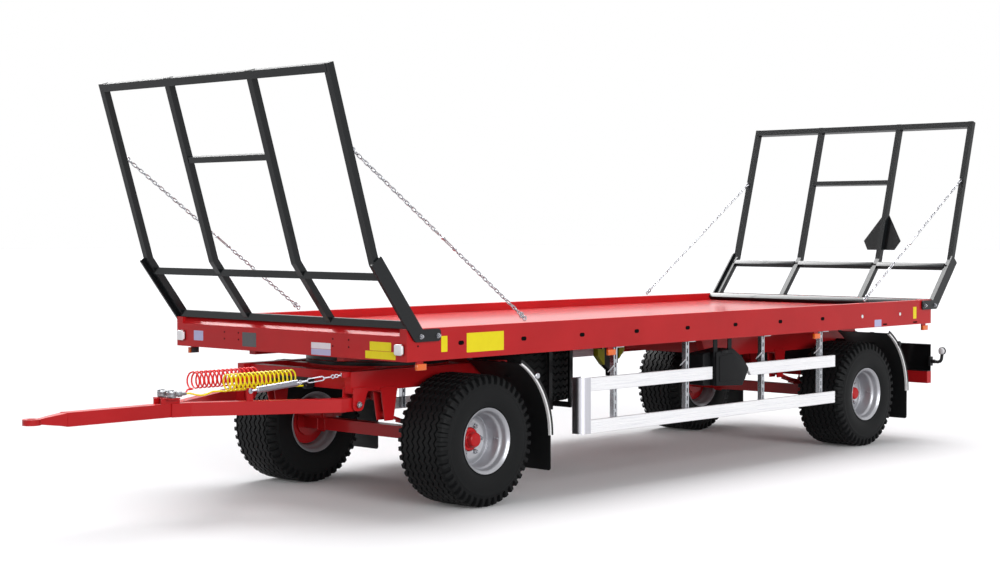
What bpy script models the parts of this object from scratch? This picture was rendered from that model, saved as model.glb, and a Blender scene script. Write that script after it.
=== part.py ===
"""Flat-deck bale trailer with a steered front bogie, modelled at full size.

Units are metres and +Z is up. The trailer stands on its wheels with its front towards -Y
and its left side towards +X. Every place below is measured along Y from the deck's front
edge; the empty "trailer" then moves the whole so that its box is centred on the origin.
"""
import math
from collections import namedtuple

import bmesh
import bpy
from mathutils import Matrix, Vector

# Deck
DECK_LENGTH = 6.67
DECK_WIDTH = 2.50
BOARD_BOTTOM = 1.07
BOARD_HEIGHT = 0.218
BOARD_FLANGE = 0.070
LOWER_FLANGE = 0.050
SHEET = 0.005
FLOOR_DROP = 0.065
FLOOR_SHEET = 0.006
PANEL_FOLD = 0.050
PANEL_LAND = 0.036
GAP = 0.0003

# Slots in the side boards
SLOT_FIRST = 0.505
SLOT_PITCH = 0.625
SLOT_COUNT = 10
SLOT_LENGTH = 0.046
SLOT_HEIGHT = 0.026
SLOT_DROP = 0.111

# Marker lamps under the side boards
MARKER_LAMPS = (0.140, 2.099, 4.812, 6.583)
LAMP_LONG = 0.085
LAMP_TALL = 0.042
LAMP_LOW = BOARD_BOTTOM - 0.060

# Frame under the deck
RAIL_X = 0.48
RAIL_WIDTH = 0.070
RAIL_BOTTOM = 1.035
RAIL_INSET = 0.10
BEARER_WIDTH = 0.050
BEARER_DEPTH = 0.075
BEARER_COUNT = 12

# Running gear
TYRE_RADIUS = 0.4655
TYRE_SECTION = 0.460
TREAD_WIDTH = 0.425
TRACK = 1.826
AXLE_FRONT = 0.889
AXLE_REAR = 5.773
WHEEL_SEGMENTS = 24
BEAD_RADIUS = 0.2165
BEAD_WIDTH = 0.410
FLANGE_RADIUS = 0.2335
RIM_WALL = 0.011
DISC_OFFSET = 0.040
DISC_WALL = 0.012
HUB_BORE = 0.085
DRUM_RADIUS = 0.165
DRUM_DEPTH = 0.150
AXLE_BEAM = 0.090
SPRING_HALF = 0.470
SPRING_RISE = 0.095
SPRING_WIDTH = 0.070
LEAF = 0.014
SPRING_EYE = 0.022
HANGER_WALL = 0.010

# Turntable and front bogie
BOGIE_RAIL_X = 0.585
BOGIE_RAIL_WIDTH = 0.067
BOGIE_RAIL_BOTTOM = 0.827
BOGIE_RAIL_TOP = 0.967
BOGIE_FRONT = 0.815
BOGIE_REAR = 0.740
RING_RADIUS = 0.525
RING_WIDTH = 0.100
RING_SPLIT = 1.001
RING_SEGMENTS = 24
CROSS_MEMBERS = (0.170, 0.520, 1.258, 1.580)

# Drawbar
CLEVIS_Y = 0.113
CLEVIS_Z = 0.744
EYE_Y = -2.034
EYE_RADIUS = 0.058
EYE_HOLE = 0.026
DRAWBAR_TUBE = 0.092
DRAWBAR_NOSE = -1.80
DRAWBAR_FORK = -0.86
PIN_RADIUS = 0.020
PIN_PLAY = 0.0009
GUSSET_Y = -0.54
COUPLING_Y = -1.01

# Support spring: its eyes on the drawbar's left arm and on the bogie's left rail
SPRING_ARM = (0.290, -0.535, 0.858)
SPRING_RAIL = (BOGIE_RAIL_X, 0.030, 0.950)
SPRING_EYE_HALF = 0.004

# Brake hoses
COIL_X = (0.100, -0.150)
COIL_Z = (0.905, 0.915)
COIL_FRONT = (-0.615, -0.710)
COIL_RADIUS = 0.0625
HOSE_RADIUS = 0.006
HOSE_STRAIGHT = 0.014
FILTER_FRONT = 0.045

# Mudguards
GUARD_RADIUS = 0.600
GUARD_SHEET = 0.006
GUARD_TOP_ANGLE = 62.0
GUARD_TUBE_ANGLE = 41.0
GUARD_WIDTH = 0.534
FLAP_BOTTOM = 0.205

# End frames: one row for each end of the deck. Each length is measured outwards from the
# deck's end; the insets and the foot's reach are measured inwards.
EndFrame = namedtuple("EndFrame", "end foot_inset foot_z kink_out kink_z top_out top_z middle_z cross_z "
                                  "foot_reach chain_z chain_foot screw_share")
END_FRAMES = (
    EndFrame("front", 0.061, BOARD_BOTTOM + BOARD_HEIGHT + GAP, 0.270, 1.722, 0.658, 2.993, 1.635, 2.428,
             0.300, 2.450, 1.165, 0.470),
    EndFrame("rear", -0.085, 1.240, 0.388, 1.638, 0.772, 2.957, 1.578, 2.389,
             0.175, 2.395, 1.090, 0.447),
)
POST_TUBE = 0.050
TOP_BAR = 0.055
CROSS_BAR = 0.042
MIDDLE_POST_X = 0.450
SIDE_PLATE = 0.015
SIDE_PLATE_WIDTH = 0.105
FOOT_HEIGHT = 0.083

# Stay chains
CHAIN_PITCH = 0.040
LINK_WIDTH = 0.026
LINK_WIRE = 0.008
CHAIN_EYE = 0.0165
TURNBUCKLE_LENGTH = 0.25

# Side guards
GUARD_SETBACK = 0.050
GUARD_RAIL_DEPTH = 0.030
GUARD_RAIL_HEIGHT = 0.100
GUARD_LOWER_Z = 0.438
GUARD_UPPER_Z = 0.750
GUARD_FRONT = 1.91
GUARD_REAR = 5.155
GUARD_NOSE = 0.205
GUARD_POST = 0.040
GUARD_POSTS = (2.229, 3.107, 4.125, 4.981)
GUARD_BREAK_FRONT = 3.395
GUARD_BREAK_REAR = (3.918, 3.833)

# Under the deck
SPARE_Y = 2.36
SPARE_Z = 0.815
BOX_FRONT = 3.320
BOX_REAR = 3.850
BOX_BOTTOM = 0.680
BOX_TOP = 0.985
BOX_SETBACK = 0.015
BOX_DEPTH = 0.215
BOX_STEP_Y = 3.410
BOX_STEP = 0.070
CHOCK_Y = 2.72

# Rear end
SUBFRAME_FRONT = 4.13
SUBFRAME_REAR = 6.50
SUBFRAME_BOTTOM = 0.845
BUMPER_FACE = 6.860
BUMPER_HALF = 1.145
BUMPER_DEPTH = 0.070
BUMPER_BOTTOM = 0.500
BUMPER_TOP = 0.610
LAMP_BOARD_TOP = 0.863
LAMP_BOARD_SHEET = 0.006
LAMP_BOARD_FLANGE = 0.045
CLUSTER_INSET = 0.055
CLUSTER_WIDTH = 0.370
CLUSTER_HEIGHT = 0.135
CLUSTER_LIFT = 0.055
STALK_LIFT = 0.130
MARKER_RADIUS = 0.033

# Derived heights and places
BOARD_TOP = BOARD_BOTTOM + BOARD_HEIGHT
FLOOR_TOP = BOARD_TOP - FLOOR_DROP
FLOOR_BOTTOM = FLOOR_TOP - FLOOR_SHEET
HALF_WIDTH = DECK_WIDTH / 2
BOARD_INNER = HALF_WIDTH - BOARD_FLANGE
GUARD_RAIL_X = HALF_WIDTH - GUARD_SETBACK
BOX_OUTER_X = HALF_WIDTH - BOX_SETBACK
BOX_INNER_X = BOX_OUTER_X - BOX_DEPTH
WHEEL_X = TRACK / 2
WHEEL_Z = TYRE_RADIUS
REAR_FRAME = END_FRAMES[1]
REAR_LEAN = math.atan2(REAR_FRAME.top_out - REAR_FRAME.kink_out, REAR_FRAME.top_z - REAR_FRAME.kink_z)
TOP_BAR_DROP = TOP_BAR / 2 + 0.002
REAR_TIP = (DECK_LENGTH + REAR_FRAME.top_out - TOP_BAR_DROP * math.tan(REAR_LEAN)
            + TOP_BAR / 2 * (math.cos(REAR_LEAN) + math.sin(REAR_LEAN)))
FRONT_TIP = EYE_Y - EYE_RADIUS
MIDDLE_Y = (REAR_TIP + FRONT_TIP) / 2

COLOURS = {
    # name: (red, green, blue, roughness, metallic)
    "red_paint": (0.46, 0.035, 0.035, 0.35, 0.0),
    "dark_grey_paint": (0.028, 0.033, 0.038, 0.45, 0.0),
    "zinc": (0.55, 0.55, 0.56, 0.40, 0.9),
    "aluminium": (0.80, 0.80, 0.82, 0.30, 1.0),
    "silver_paint": (0.62, 0.62, 0.64, 0.35, 0.6),
    "tyre_rubber": (0.012, 0.012, 0.012, 0.80, 0.0),
    "black_plastic": (0.010, 0.010, 0.012, 0.50, 0.0),
    "yellow_plastic": (0.75, 0.52, 0.02, 0.40, 0.0),
    "red_plastic": (0.55, 0.02, 0.02, 0.40, 0.0),
}


def clear_scene():
    for old in list(bpy.data.objects):
        bpy.data.objects.remove(old, do_unlink=True)


def make_materials():
    made = {}
    for name, (red, green, blue, rough, metal) in COLOURS.items():
        material = bpy.data.materials.new(name)
        material.use_nodes = True
        shader = material.node_tree.nodes["Principled BSDF"]
        shader.inputs["Base Color"].default_value = (red, green, blue, 1.0)
        shader.inputs["Roughness"].default_value = rough
        shader.inputs["Metallic"].default_value = metal
        made[name] = material
    return made


# Outlines in a plane
def band(points, width, flat_start=False):
    """Closed outline of a bent strip that follows points with mitred corners."""
    points = [Vector(p) for p in points]
    left, right = [], []
    for i, point in enumerate(points):
        into = (point - points[i - 1]).normalized() if i else None
        out = (points[i + 1] - point).normalized() if i + 1 < len(points) else None
        along = ((into or out) + (out or into)).normalized()
        normal = Vector((-along.y, along.x))
        edge = Vector((-(out or into).y, (out or into).x))
        reach = width / 2 / max(normal.dot(edge), 0.2)
        for side, row in ((1, left), (-1, right)):
            corner = point + normal * reach * side
            if flat_start and i == 0:
                corner += along * (point.y - corner.y) / along.y
            row.append(corner)
    return [tuple(p) for p in left + right[::-1]]


def rounded(corners, steps=3):
    """Outline whose corners, given as (u, v, radius), are rounded with arcs."""
    outline = []
    for i, (u, v, radius) in enumerate(corners):
        here = Vector((u, v))
        if radius <= 0:
            outline.append((u, v))
            continue
        back = (Vector(corners[i - 1][:2]) - here).normalized()
        ahead = (Vector(corners[(i + 1) % len(corners)][:2]) - here).normalized()
        half = back.angle(ahead) / 2
        run = radius / math.tan(half)
        centre = here + (back + ahead).normalized() * radius / math.sin(half)
        start = (here + back * run - centre).normalized()
        end = (here + ahead * run - centre).normalized()
        for k in range(steps + 1):
            outline.append(tuple(centre + start.slerp(end, k / steps) * radius))
    return outline


def rectangle(u0, u1, v0, v1):
    return [(u0, v0), (u1, v0), (u1, v1), (u0, v1)]


def oblong(u, v, length, height, steps=2):
    """Slot with round ends, its length along u."""
    radius = height / 2
    points = []
    for side in (1, -1):
        middle = u + side * (length / 2 - radius)
        for k in range(steps + 1):
            turn = math.radians(-90 + 180 * k / steps) + (0 if side > 0 else math.pi)
            points.append((middle + radius * math.cos(turn), v + radius * math.sin(turn)))
    return points


def circle(u, v, radius, steps=16):
    turns = [2 * math.pi * k / steps for k in range(steps)]
    return [(u + radius * math.cos(t), v + radius * math.sin(t)) for t in turns]


# Solids, each a mesh of its own in trailer coordinates
def mesh_from(bm):
    bmesh.ops.recalc_face_normals(bm, faces=bm.faces)
    mesh = bpy.data.meshes.new("shape")
    bm.to_mesh(mesh)
    bm.free()
    return mesh


def prism(outline, axis, low, high):
    """Outline pushed out along an axis: x takes (y, z), y takes (x, z), z takes (x, y)."""
    order = {"x": (2, 0, 1), "y": (0, 2, 1), "z": (0, 1, 2)}[axis]
    bm = bmesh.new()
    rings = []
    for depth in (low, high):
        ring = []
        for u, v in outline:
            place = (u, v, depth)
            ring.append(bm.verts.new([place[k] for k in order]))
        rings.append(ring)
    bm.faces.new(rings[0])
    bm.faces.new(rings[1][::-1])
    for k in range(len(outline)):
        after = (k + 1) % len(outline)
        bm.faces.new((rings[0][k], rings[0][after], rings[1][after], rings[1][k]))
    return mesh_from(bm)


def block(x0, x1, y0, y1, z0, z1):
    return prism(rectangle(x0, x1, y0, y1), "z", z0, z1)


def turned(profile, axis, centre, segments, closed_ring=True):
    """Profile of (along, radius) turned about an axis through centre."""
    ways = {"x": (Vector((1, 0, 0)), Vector((0, 1, 0)), Vector((0, 0, 1))),
            "y": (Vector((0, 1, 0)), Vector((0, 0, 1)), Vector((1, 0, 0))),
            "z": (Vector((0, 0, 1)), Vector((1, 0, 0)), Vector((0, 1, 0)))}
    forward, first, second = ways[axis]
    centre = Vector(centre)
    bm = bmesh.new()
    rings = []
    for along, radius in profile:
        if radius == 0:
            rings.append([bm.verts.new(centre + forward * along)])
            continue
        ring = []
        for k in range(segments):
            turn = 2 * math.pi * k / segments - math.pi / 2
            spoke = first * math.cos(turn) + second * math.sin(turn)
            ring.append(bm.verts.new(centre + forward * along + spoke * radius))
        rings.append(ring)
    pairs = list(zip(rings, rings[1:]))
    if closed_ring:
        pairs.append((rings[-1], rings[0]))
    for a, b in pairs:
        for k in range(segments):
            after = (k + 1) % segments
            corners = [a[k % len(a)], a[after % len(a)], b[after % len(b)], b[k % len(b)]]
            unique = list(dict.fromkeys(corners))
            if len(unique) > 2:
                bm.faces.new(unique)
    return mesh_from(bm)


def rod(start, end, radius, segments=10):
    """Straight round bar between two points."""
    start, end = Vector(start), Vector(end)
    bm = bmesh.new()
    turn = (end - start).to_track_quat("Z", "Y").to_matrix().to_4x4()
    place = Matrix.Translation((start + end) / 2) @ turn
    bmesh.ops.create_cone(bm, cap_ends=True, segments=segments, radius1=radius, radius2=radius,
                          depth=(end - start).length, matrix=place)
    return mesh_from(bm)


def lofted(sections):
    """Solid through sections, each a ring of points with the same count."""
    bm = bmesh.new()
    rings = [[bm.verts.new(p) for p in section] for section in sections]
    bm.faces.new(rings[0])
    bm.faces.new(rings[-1][::-1])
    for a, b in zip(rings, rings[1:]):
        for k in range(len(a)):
            after = (k + 1) % len(a)
            bm.faces.new((a[k], a[after], b[after], b[k]))
    return mesh_from(bm)


def combined(meshes, cutters=()):
    """One mesh: the union of meshes less the cutters."""
    base = bpy.data.objects.new("base", meshes[0])
    bpy.context.scene.collection.objects.link(base)
    spare = [base]
    for operation, others in (("UNION", meshes[1:]), ("DIFFERENCE", cutters)):
        for mesh in others:
            tool = bpy.data.objects.new("tool", mesh)
            bpy.context.scene.collection.objects.link(tool)
            tool.hide_render = True
            tool.display_type = "WIRE"
            spare.append(tool)
            step = base.modifiers.new(operation.lower(), "BOOLEAN")
            step.operation = operation
            step.solver = "EXACT"
            step.object = tool
    view = bpy.context.evaluated_depsgraph_get()
    result = bpy.data.meshes.new_from_object(base.evaluated_get(view))
    for helper in spare:
        bpy.data.objects.remove(helper, do_unlink=True)
    bm = bmesh.new()
    bm.from_mesh(result)
    bmesh.ops.remove_doubles(bm, verts=bm.verts, dist=1e-5)
    bmesh.ops.dissolve_degenerate(bm, edges=bm.edges, dist=1e-5)
    bmesh.ops.dissolve_limit(bm, angle_limit=math.radians(0.2), verts=bm.verts, edges=bm.edges)
    bm.to_mesh(result)
    bm.free()
    return result


class Builder:
    """Places finished meshes as named objects on the empties that carry them."""

    def __init__(self):
        self.materials = make_materials()
        self.pivots = {}
        self.empties = {}

    def carrier(self, name, pivot, parent=None):
        empty = bpy.data.objects.new(name, None)
        bpy.context.scene.collection.objects.link(empty)
        origin = Vector(self.pivots[parent]) if parent else Vector((0, MIDDLE_Y, 0))
        empty.location = Vector(pivot) - origin
        empty.parent = self.empties.get(parent)
        self.pivots[name] = tuple(pivot)
        self.empties[name] = empty

    def place(self, name, mesh, material, carrier):
        pivot = Vector(self.pivots[carrier])
        mesh.transform(Matrix.Translation(-pivot))
        mesh.name = name
        mesh.materials.clear()
        mesh.materials.append(self.materials[material])
        mesh.shade_smooth()
        mesh.set_sharp_from_angle(angle=math.radians(35))
        part = bpy.data.objects.new(name, mesh)
        bpy.context.scene.collection.objects.link(part)
        part.parent = self.empties[carrier]


def mirrored(mesh):
    """Copy of a mesh on the other side of the trailer's middle plane."""
    other = mesh.copy()
    other.transform(Matrix.Scale(-1, 4, (1, 0, 0)))
    other.flip_normals()
    return other


SIDES = (("left", 1), ("right", -1))


# Deck
def side_board():
    """Left side board: a folded section with closed ends, slots and marker lamps."""
    half = SHEET / 2
    fold = band([(BOARD_INNER + half, FLOOR_BOTTOM - SHEET),
                 (BOARD_INNER + half, BOARD_TOP - half),
                 (HALF_WIDTH - half, BOARD_TOP - half),
                 (HALF_WIDTH - half, BOARD_BOTTOM + half),
                 (HALF_WIDTH - LOWER_FLANGE, BOARD_BOTTOM + half)], SHEET)
    pieces = [prism(fold, "y", SHEET, DECK_LENGTH - SHEET)]
    for end in (0, DECK_LENGTH - BOARD_FLANGE):
        pieces.append(block(BOARD_INNER, HALF_WIDTH, end, end + BOARD_FLANGE, BOARD_BOTTOM, BOARD_TOP))
    for lamp_y in MARKER_LAMPS:
        bracket = block(HALF_WIDTH - 0.036, HALF_WIDTH - 0.022, lamp_y - 0.030, lamp_y + 0.030,
                        LAMP_LOW + 0.01, BOARD_BOTTOM + half)
        lamp = block(HALF_WIDTH - 0.026, HALF_WIDTH - 0.004, lamp_y - LAMP_LONG / 2,
                     lamp_y + LAMP_LONG / 2, LAMP_LOW, LAMP_LOW + LAMP_TALL)
        pieces += [bracket, lamp]
    cutters = []
    for k in range(SLOT_COUNT):
        outline = oblong(SLOT_FIRST + k * SLOT_PITCH, BOARD_TOP - SLOT_DROP, SLOT_LENGTH, SLOT_HEIGHT)
        cutters.append(prism(outline, "x", HALF_WIDTH - 2 * SHEET, HALF_WIDTH + SHEET))
    return combined(pieces, cutters)


def front_panel():
    """Sheet that rises from the deck's lower edge and folds back to the floor."""
    half = SHEET / 2
    fold = band([(half, BOARD_BOTTOM),
                 (half, BOARD_TOP - PANEL_FOLD),
                 (PANEL_FOLD, BOARD_TOP - half),
                 (PANEL_FOLD + PANEL_LAND, BOARD_TOP - half),
                 (PANEL_FOLD + PANEL_LAND, FLOOR_BOTTOM - SHEET)], SHEET)
    pieces = [prism(fold, "x", -BOARD_INNER + GAP, BOARD_INNER - GAP)]
    for side in (1, -1):
        low, high = sorted((side * (HALF_WIDTH - 0.103), side * (HALF_WIDTH - 0.026)))
        lamp = prism(rounded([(low, 1.114, 0.010), (high, 1.114, 0.010), (high, 1.186, 0.010),
                              (low, 1.186, 0.010)], 2), "y", -0.020, -GAP)
        near, far = sorted((side * (HALF_WIDTH - 0.095), side * (BOARD_INNER - GAP)))
        pieces += [lamp, block(near, far, -0.010, half, 1.125, 1.175)]
    return combined(pieces)


def rear_panel():
    half = SHEET / 2
    back = DECK_LENGTH - half
    fold = band([(back, BOARD_BOTTOM),
                 (back, BOARD_TOP - half),
                 (back - PANEL_FOLD - PANEL_LAND, BOARD_TOP - half),
                 (back - PANEL_FOLD - PANEL_LAND, FLOOR_BOTTOM - SHEET)], SHEET)
    return prism(fold, "x", -BOARD_INNER + GAP, BOARD_INNER - GAP)


def deck_floor():
    inset = PANEL_FOLD + PANEL_LAND + SHEET
    return block(-BOARD_INNER + GAP, BOARD_INNER - GAP, inset, DECK_LENGTH - inset,
                 FLOOR_BOTTOM, FLOOR_TOP)


def main_frame():
    """Two long rails, the cross bearers under the floor and the turntable's upper ring."""
    top = FLOOR_BOTTOM - GAP
    front, rear = RAIL_INSET, DECK_LENGTH - RAIL_INSET
    pieces = []
    for side in (1, -1):
        low, high = sorted((side * (RAIL_X - RAIL_WIDTH / 2), side * (RAIL_X + RAIL_WIDTH / 2)))
        pieces.append(block(low, high, front, rear, RAIL_BOTTOM, top - 0.004))
    pitch = (rear - front - BEARER_WIDTH) / (BEARER_COUNT - 1)
    for k in range(BEARER_COUNT):
        y = front + k * pitch
        pieces.append(block(-BOARD_INNER + GAP, BOARD_INNER - GAP, y, y + BEARER_WIDTH,
                            top - BEARER_DEPTH, top))
    ring = turned([(RING_SPLIT + GAP, RING_RADIUS), (RING_SPLIT + GAP, RING_RADIUS - RING_WIDTH),
                   (RAIL_BOTTOM + 0.012, RING_RADIUS - RING_WIDTH), (RAIL_BOTTOM + 0.012, RING_RADIUS)],
                  "z", (0, AXLE_FRONT, 0), RING_SEGMENTS)
    pieces.append(ring)
    return combined(pieces)


# End frames and their chains
def out_from(frame, distance):
    """Y of a point that lies a distance beyond the frame's end of the deck."""
    return -distance if frame.end == "front" else DECK_LENGTH + distance


def out_at(frame, z):
    """Distance beyond the deck's end at which the posts stand at height z."""
    if z > frame.kink_z:
        share = (z - frame.kink_z) / (frame.top_z - frame.kink_z)
        return frame.kink_out + share * (frame.top_out - frame.kink_out)
    share = (z - BOARD_TOP) / (frame.kink_z - BOARD_TOP)
    return -frame.foot_inset + share * (frame.kink_out + frame.foot_inset)


def lean_of(frame):
    """Angle between the upper posts and the vertical."""
    return math.atan2(frame.top_out - frame.kink_out, frame.top_z - frame.kink_z)


def side_plate(frame):
    """Outline of the plate that carries an outer post down to its two foot bolts."""
    foot = Vector((-frame.foot_inset, BOARD_TOP))
    kink = Vector((frame.kink_out, frame.kink_z))
    along = (kink - foot).normalized()
    inward = Vector((-along.y, along.x)) * SIDE_PLATE_WIDTH / 2
    foot_top = BOARD_TOP - SHEET
    foot_bottom = foot_top - FOOT_HEIGHT

    def on_edge(edge, z):
        start = foot + edge
        return start + along * (z - start.y) / along.y

    outer_low = on_edge(-inward, foot_bottom)
    inner_low = on_edge(inward, foot_top)
    outer_top = kink - inward + along * 0.025
    inner_top = kink + inward + along * 0.025
    corners = [(outer_top.x, outer_top.y, 0.010), (inner_top.x, inner_top.y, 0.010),
               (inner_low.x, inner_low.y, 0), (-frame.foot_reach, foot_top, 0.022),
               (-frame.foot_reach, foot_bottom, 0.022), (outer_low.x, outer_low.y, 0.035)]
    return [(out_from(frame, s), z) for s, z in rounded(corners, 2)]


def end_frame(frame):
    line = [(out_from(frame, out_at(frame, z)), z) for z in (frame.foot_z, frame.kink_z, frame.top_z)]
    post = band(line, POST_TUBE, flat_start=True)
    lean = Vector(line[2]) - Vector(line[1])
    lean.normalize()
    plate_inner = HALF_WIDTH + GAP
    post_outer = plate_inner + 0.002
    pieces = []
    for side in (1, -1):
        spans = ((post, post_outer - POST_TUBE, post_outer),
                 (post, MIDDLE_POST_X - POST_TUBE / 2, MIDDLE_POST_X + POST_TUBE / 2),
                 (side_plate(frame), plate_inner, plate_inner + SIDE_PLATE))
        for outline, near, far in spans:
            pieces.append(prism(outline, "x", *sorted((side * near, side * far))))
    reach = post_outer - POST_TUBE / 2
    bars = (
        # z, size, half length
        (frame.top_z - TOP_BAR_DROP, TOP_BAR, reach),
        (frame.cross_z, CROSS_BAR, MIDDLE_POST_X),
        (frame.middle_z, POST_TUBE, reach),
        (frame.foot_z + POST_TUBE / 2, POST_TUBE, reach),
    )
    for z, size, half in bars:
        centre = Vector((out_from(frame, out_at(frame, z)), z))
        direction = lean if z > frame.kink_z else Vector((0, 1))
        strip = band([centre - direction * size / 2, centre + direction * size / 2], size)
        pieces.append(prism(strip, "x", -half, half))
    return combined(pieces)


def stay_chain(frame):
    """Left chain of one end frame: post eye, links, turnbuckle and the hook on the board."""
    inward = 1 if frame.end == "front" else -1
    x = HALF_WIDTH - POST_TUBE / 2
    stand = (POST_TUBE / 2 + CHAIN_EYE + GAP) / math.cos(lean_of(frame))
    top = Vector((x, out_from(frame, out_at(frame, frame.chain_z)) + inward * stand, frame.chain_z))
    foot_y = out_from(frame, -frame.chain_foot)
    low = Vector((x, foot_y, BOARD_TOP + 0.030))
    along = (low - top).normalized()
    across = Vector((1, 0, 0))
    up = across.cross(along).normalized()
    length = (low - top).length

    def section(distance, wide, tall):
        middle = top + along * distance
        return [middle + across * sx * wide / 2 + up * sz * tall / 2
                for sx, sz in ((1, 1), (-1, 1), (-1, -1), (1, -1))]

    sections = [section(0, LINK_WIRE, LINK_WIRE)]
    turn_start = frame.screw_share * length
    turn_end = turn_start + TURNBUCKLE_LENGTH
    for first, last in ((0, turn_start), (turn_end, length)):
        count = round((last - first) / CHAIN_PITCH)
        pitch = (last - first) / count
        for k in range(count):
            wide, tall = (LINK_WIDTH, LINK_WIRE) if k % 2 else (LINK_WIRE, LINK_WIDTH)
            sections.append(section(first + (k + 0.5) * pitch, wide, tall))
            sections.append(section(first + (k + 1) * pitch, LINK_WIRE, LINK_WIRE))
        if last == turn_start:
            for share in (0.12, 0.88):
                sections.append(section(turn_start + share * TURNBUCKLE_LENGTH, 0.030, 0.014))
            sections.append(section(turn_end, LINK_WIRE, LINK_WIRE))
    eye = prism(circle(top.y, top.z, CHAIN_EYE, 8), "x", x - 0.006, x + 0.006)
    lug = block(x - 0.005, x + 0.005, foot_y - 0.018, foot_y + 0.018, BOARD_TOP + GAP, BOARD_TOP + 0.042)
    return combined([lofted(sections), eye, lug])


def slow_triangle():
    """Plate with cut corners behind the rear frame's left middle post."""
    frame = REAR_FRAME
    low_z, high_z = 1.735, 2.085
    centre_x = MIDDLE_POST_X - 0.010
    outline = [(centre_x - 0.150, low_z), (centre_x + 0.150, low_z), (centre_x + 0.205, low_z + 0.090),
               (centre_x + 0.035, high_z), (centre_x - 0.035, high_z), (centre_x - 0.205, low_z + 0.090)]
    plate = prism(outline, "y", 0, 0.004)
    lean = lean_of(frame)
    clear = (POST_TUBE / 2 + GAP) / math.cos(lean)
    place = Matrix.Translation((0, DECK_LENGTH + out_at(frame, low_z) + clear, low_z))
    plate.transform(place @ Matrix.Rotation(-lean, 4, "X") @ Matrix.Translation((0, 0, -low_z)))
    return plate


# Wheels
def tyre(centre, axis="x"):
    """Tyre out to its lugs, turned about the wheel's axis."""
    shoulder = TREAD_WIDTH / 2
    half = [(BEAD_WIDTH / 2, BEAD_RADIUS), (BEAD_WIDTH / 2, FLANGE_RADIUS + 0.002),
            (TYRE_SECTION / 2, 0.72 * TYRE_RADIUS), (shoulder, TYRE_RADIUS - 0.018),
            (shoulder - 0.030, TYRE_RADIUS)]
    profile = half + [(-a, r) for a, r in reversed(half)]
    return turned(profile, axis, centre, WHEEL_SEGMENTS)


def rim_profile(side):
    """Deep-dish rim: the disc sits far inside the outer flange."""
    half = BEAD_WIDTH / 2 + GAP
    lip = half + 0.009
    seat = BEAD_RADIUS - GAP
    inner = seat - RIM_WALL
    face = DISC_OFFSET
    profile = [(lip, inner), (lip, FLANGE_RADIUS), (half, FLANGE_RADIUS), (half, seat), (-half, seat),
               (-half, FLANGE_RADIUS), (-lip, inner), (face - DISC_WALL, inner),
               (face - DISC_WALL, HUB_BORE), (face, HUB_BORE), (face, inner)]
    return [(side * a, r) for a, r in profile]


def hub(side, centre):
    """Hub with its cap, and the brake drum behind the disc."""
    face = DISC_OFFSET
    profile = [(face + 0.070, 0), (face + 0.070, 0.040), (face + 0.058, 0.056), (face + 0.004, 0.058),
               (face + 0.004, HUB_BORE - GAP), (face - DISC_WALL - GAP, HUB_BORE - GAP),
               (face - DISC_WALL - GAP, DRUM_RADIUS), (face - DRUM_DEPTH, DRUM_RADIUS),
               (face - DRUM_DEPTH, 0)]
    return turned([(side * a, r) for a, r in profile], "x", centre, WHEEL_SEGMENTS // 2, closed_ring=False)


def add_wheels(build):
    for end, y, carrier in (("front", AXLE_FRONT, "bogie"), ("rear", AXLE_REAR, "trailer")):
        for label, side in SIDES:
            centre = (side * WHEEL_X, y, WHEEL_Z)
            pivot = f"wheel_{end}_{label}"
            build.carrier(pivot, centre, carrier)
            build.place(f"tyre_{end}_{label}", tyre(centre), "tyre_rubber", pivot)
            build.place(f"rim_{end}_{label}", turned(rim_profile(side), "x", centre, WHEEL_SEGMENTS),
                        "silver_paint", pivot)
            build.place(f"hub_{end}_{label}", hub(side, centre), "red_paint", pivot)


def leaf_outline(y):
    """Leaf spring in the (y, z) plane: the main leaf with shorter leaves under it."""
    base = WHEEL_Z + AXLE_BEAM / 2 - 0.004
    leaves = ((1.0, 1), (0.72, 2), (0.50, 3), (0.28, 4))
    thick = LEAF * len(leaves)

    def top(share):
        return base + thick + SPRING_RISE * share * share

    shares = (0, 0.28, 0.50, 0.72, 1.0)
    upper = [(s, top(s)) for s in shares]
    lower = []
    for reach, count in leaves:
        lower.append((reach, top(reach) - LEAF * count))
        if count < len(leaves):
            lower.append((leaves[count][0], top(leaves[count][0]) - LEAF * count))
    right = [(s, z) for s, z in upper] + lower
    left = [(-s, z) for s, z in lower[::-1]] + [(-s, z) for s, z in upper[:0:-1]]
    return [(y + s * SPRING_HALF, z) for s, z in right + left]


def eye_height():
    return WHEEL_Z + AXLE_BEAM / 2 - 0.004 + 4 * LEAF + SPRING_RISE - LEAF / 2


def axle_with_springs(y, spring_x):
    """Square axle beam with both leaf springs, clamped as one piece."""
    end = WHEEL_X + DISC_OFFSET - DRUM_DEPTH - GAP
    half = AXLE_BEAM / 2
    pieces = [block(-end, end, y - half, y + half, WHEEL_Z - half, WHEEL_Z + half)]
    for side in (1, -1):
        low, high = side * spring_x - SPRING_WIDTH / 2, side * spring_x + SPRING_WIDTH / 2
        pieces.append(prism(leaf_outline(y), "x", low + 0.002, high - 0.002))
        for way in (1, -1):
            eye = circle(y + way * SPRING_HALF, eye_height(), SPRING_EYE, 10)
            pieces.append(prism(eye, "x", low, high))
        pad = block(low - 0.012, high + 0.012, y - 0.065, y + 0.065, WHEEL_Z + half - 0.006,
                    WHEEL_Z + half + 4 * LEAF + 0.012)
        pieces.append(pad)
    for side in (1, -1):
        flange_end = side * end
        inner = flange_end - side * 0.018
        low, high = sorted((flange_end, inner))
        pieces.append(prism(circle(y, WHEEL_Z, 0.110, 16), "x", low, high))
    return combined(pieces)


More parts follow.
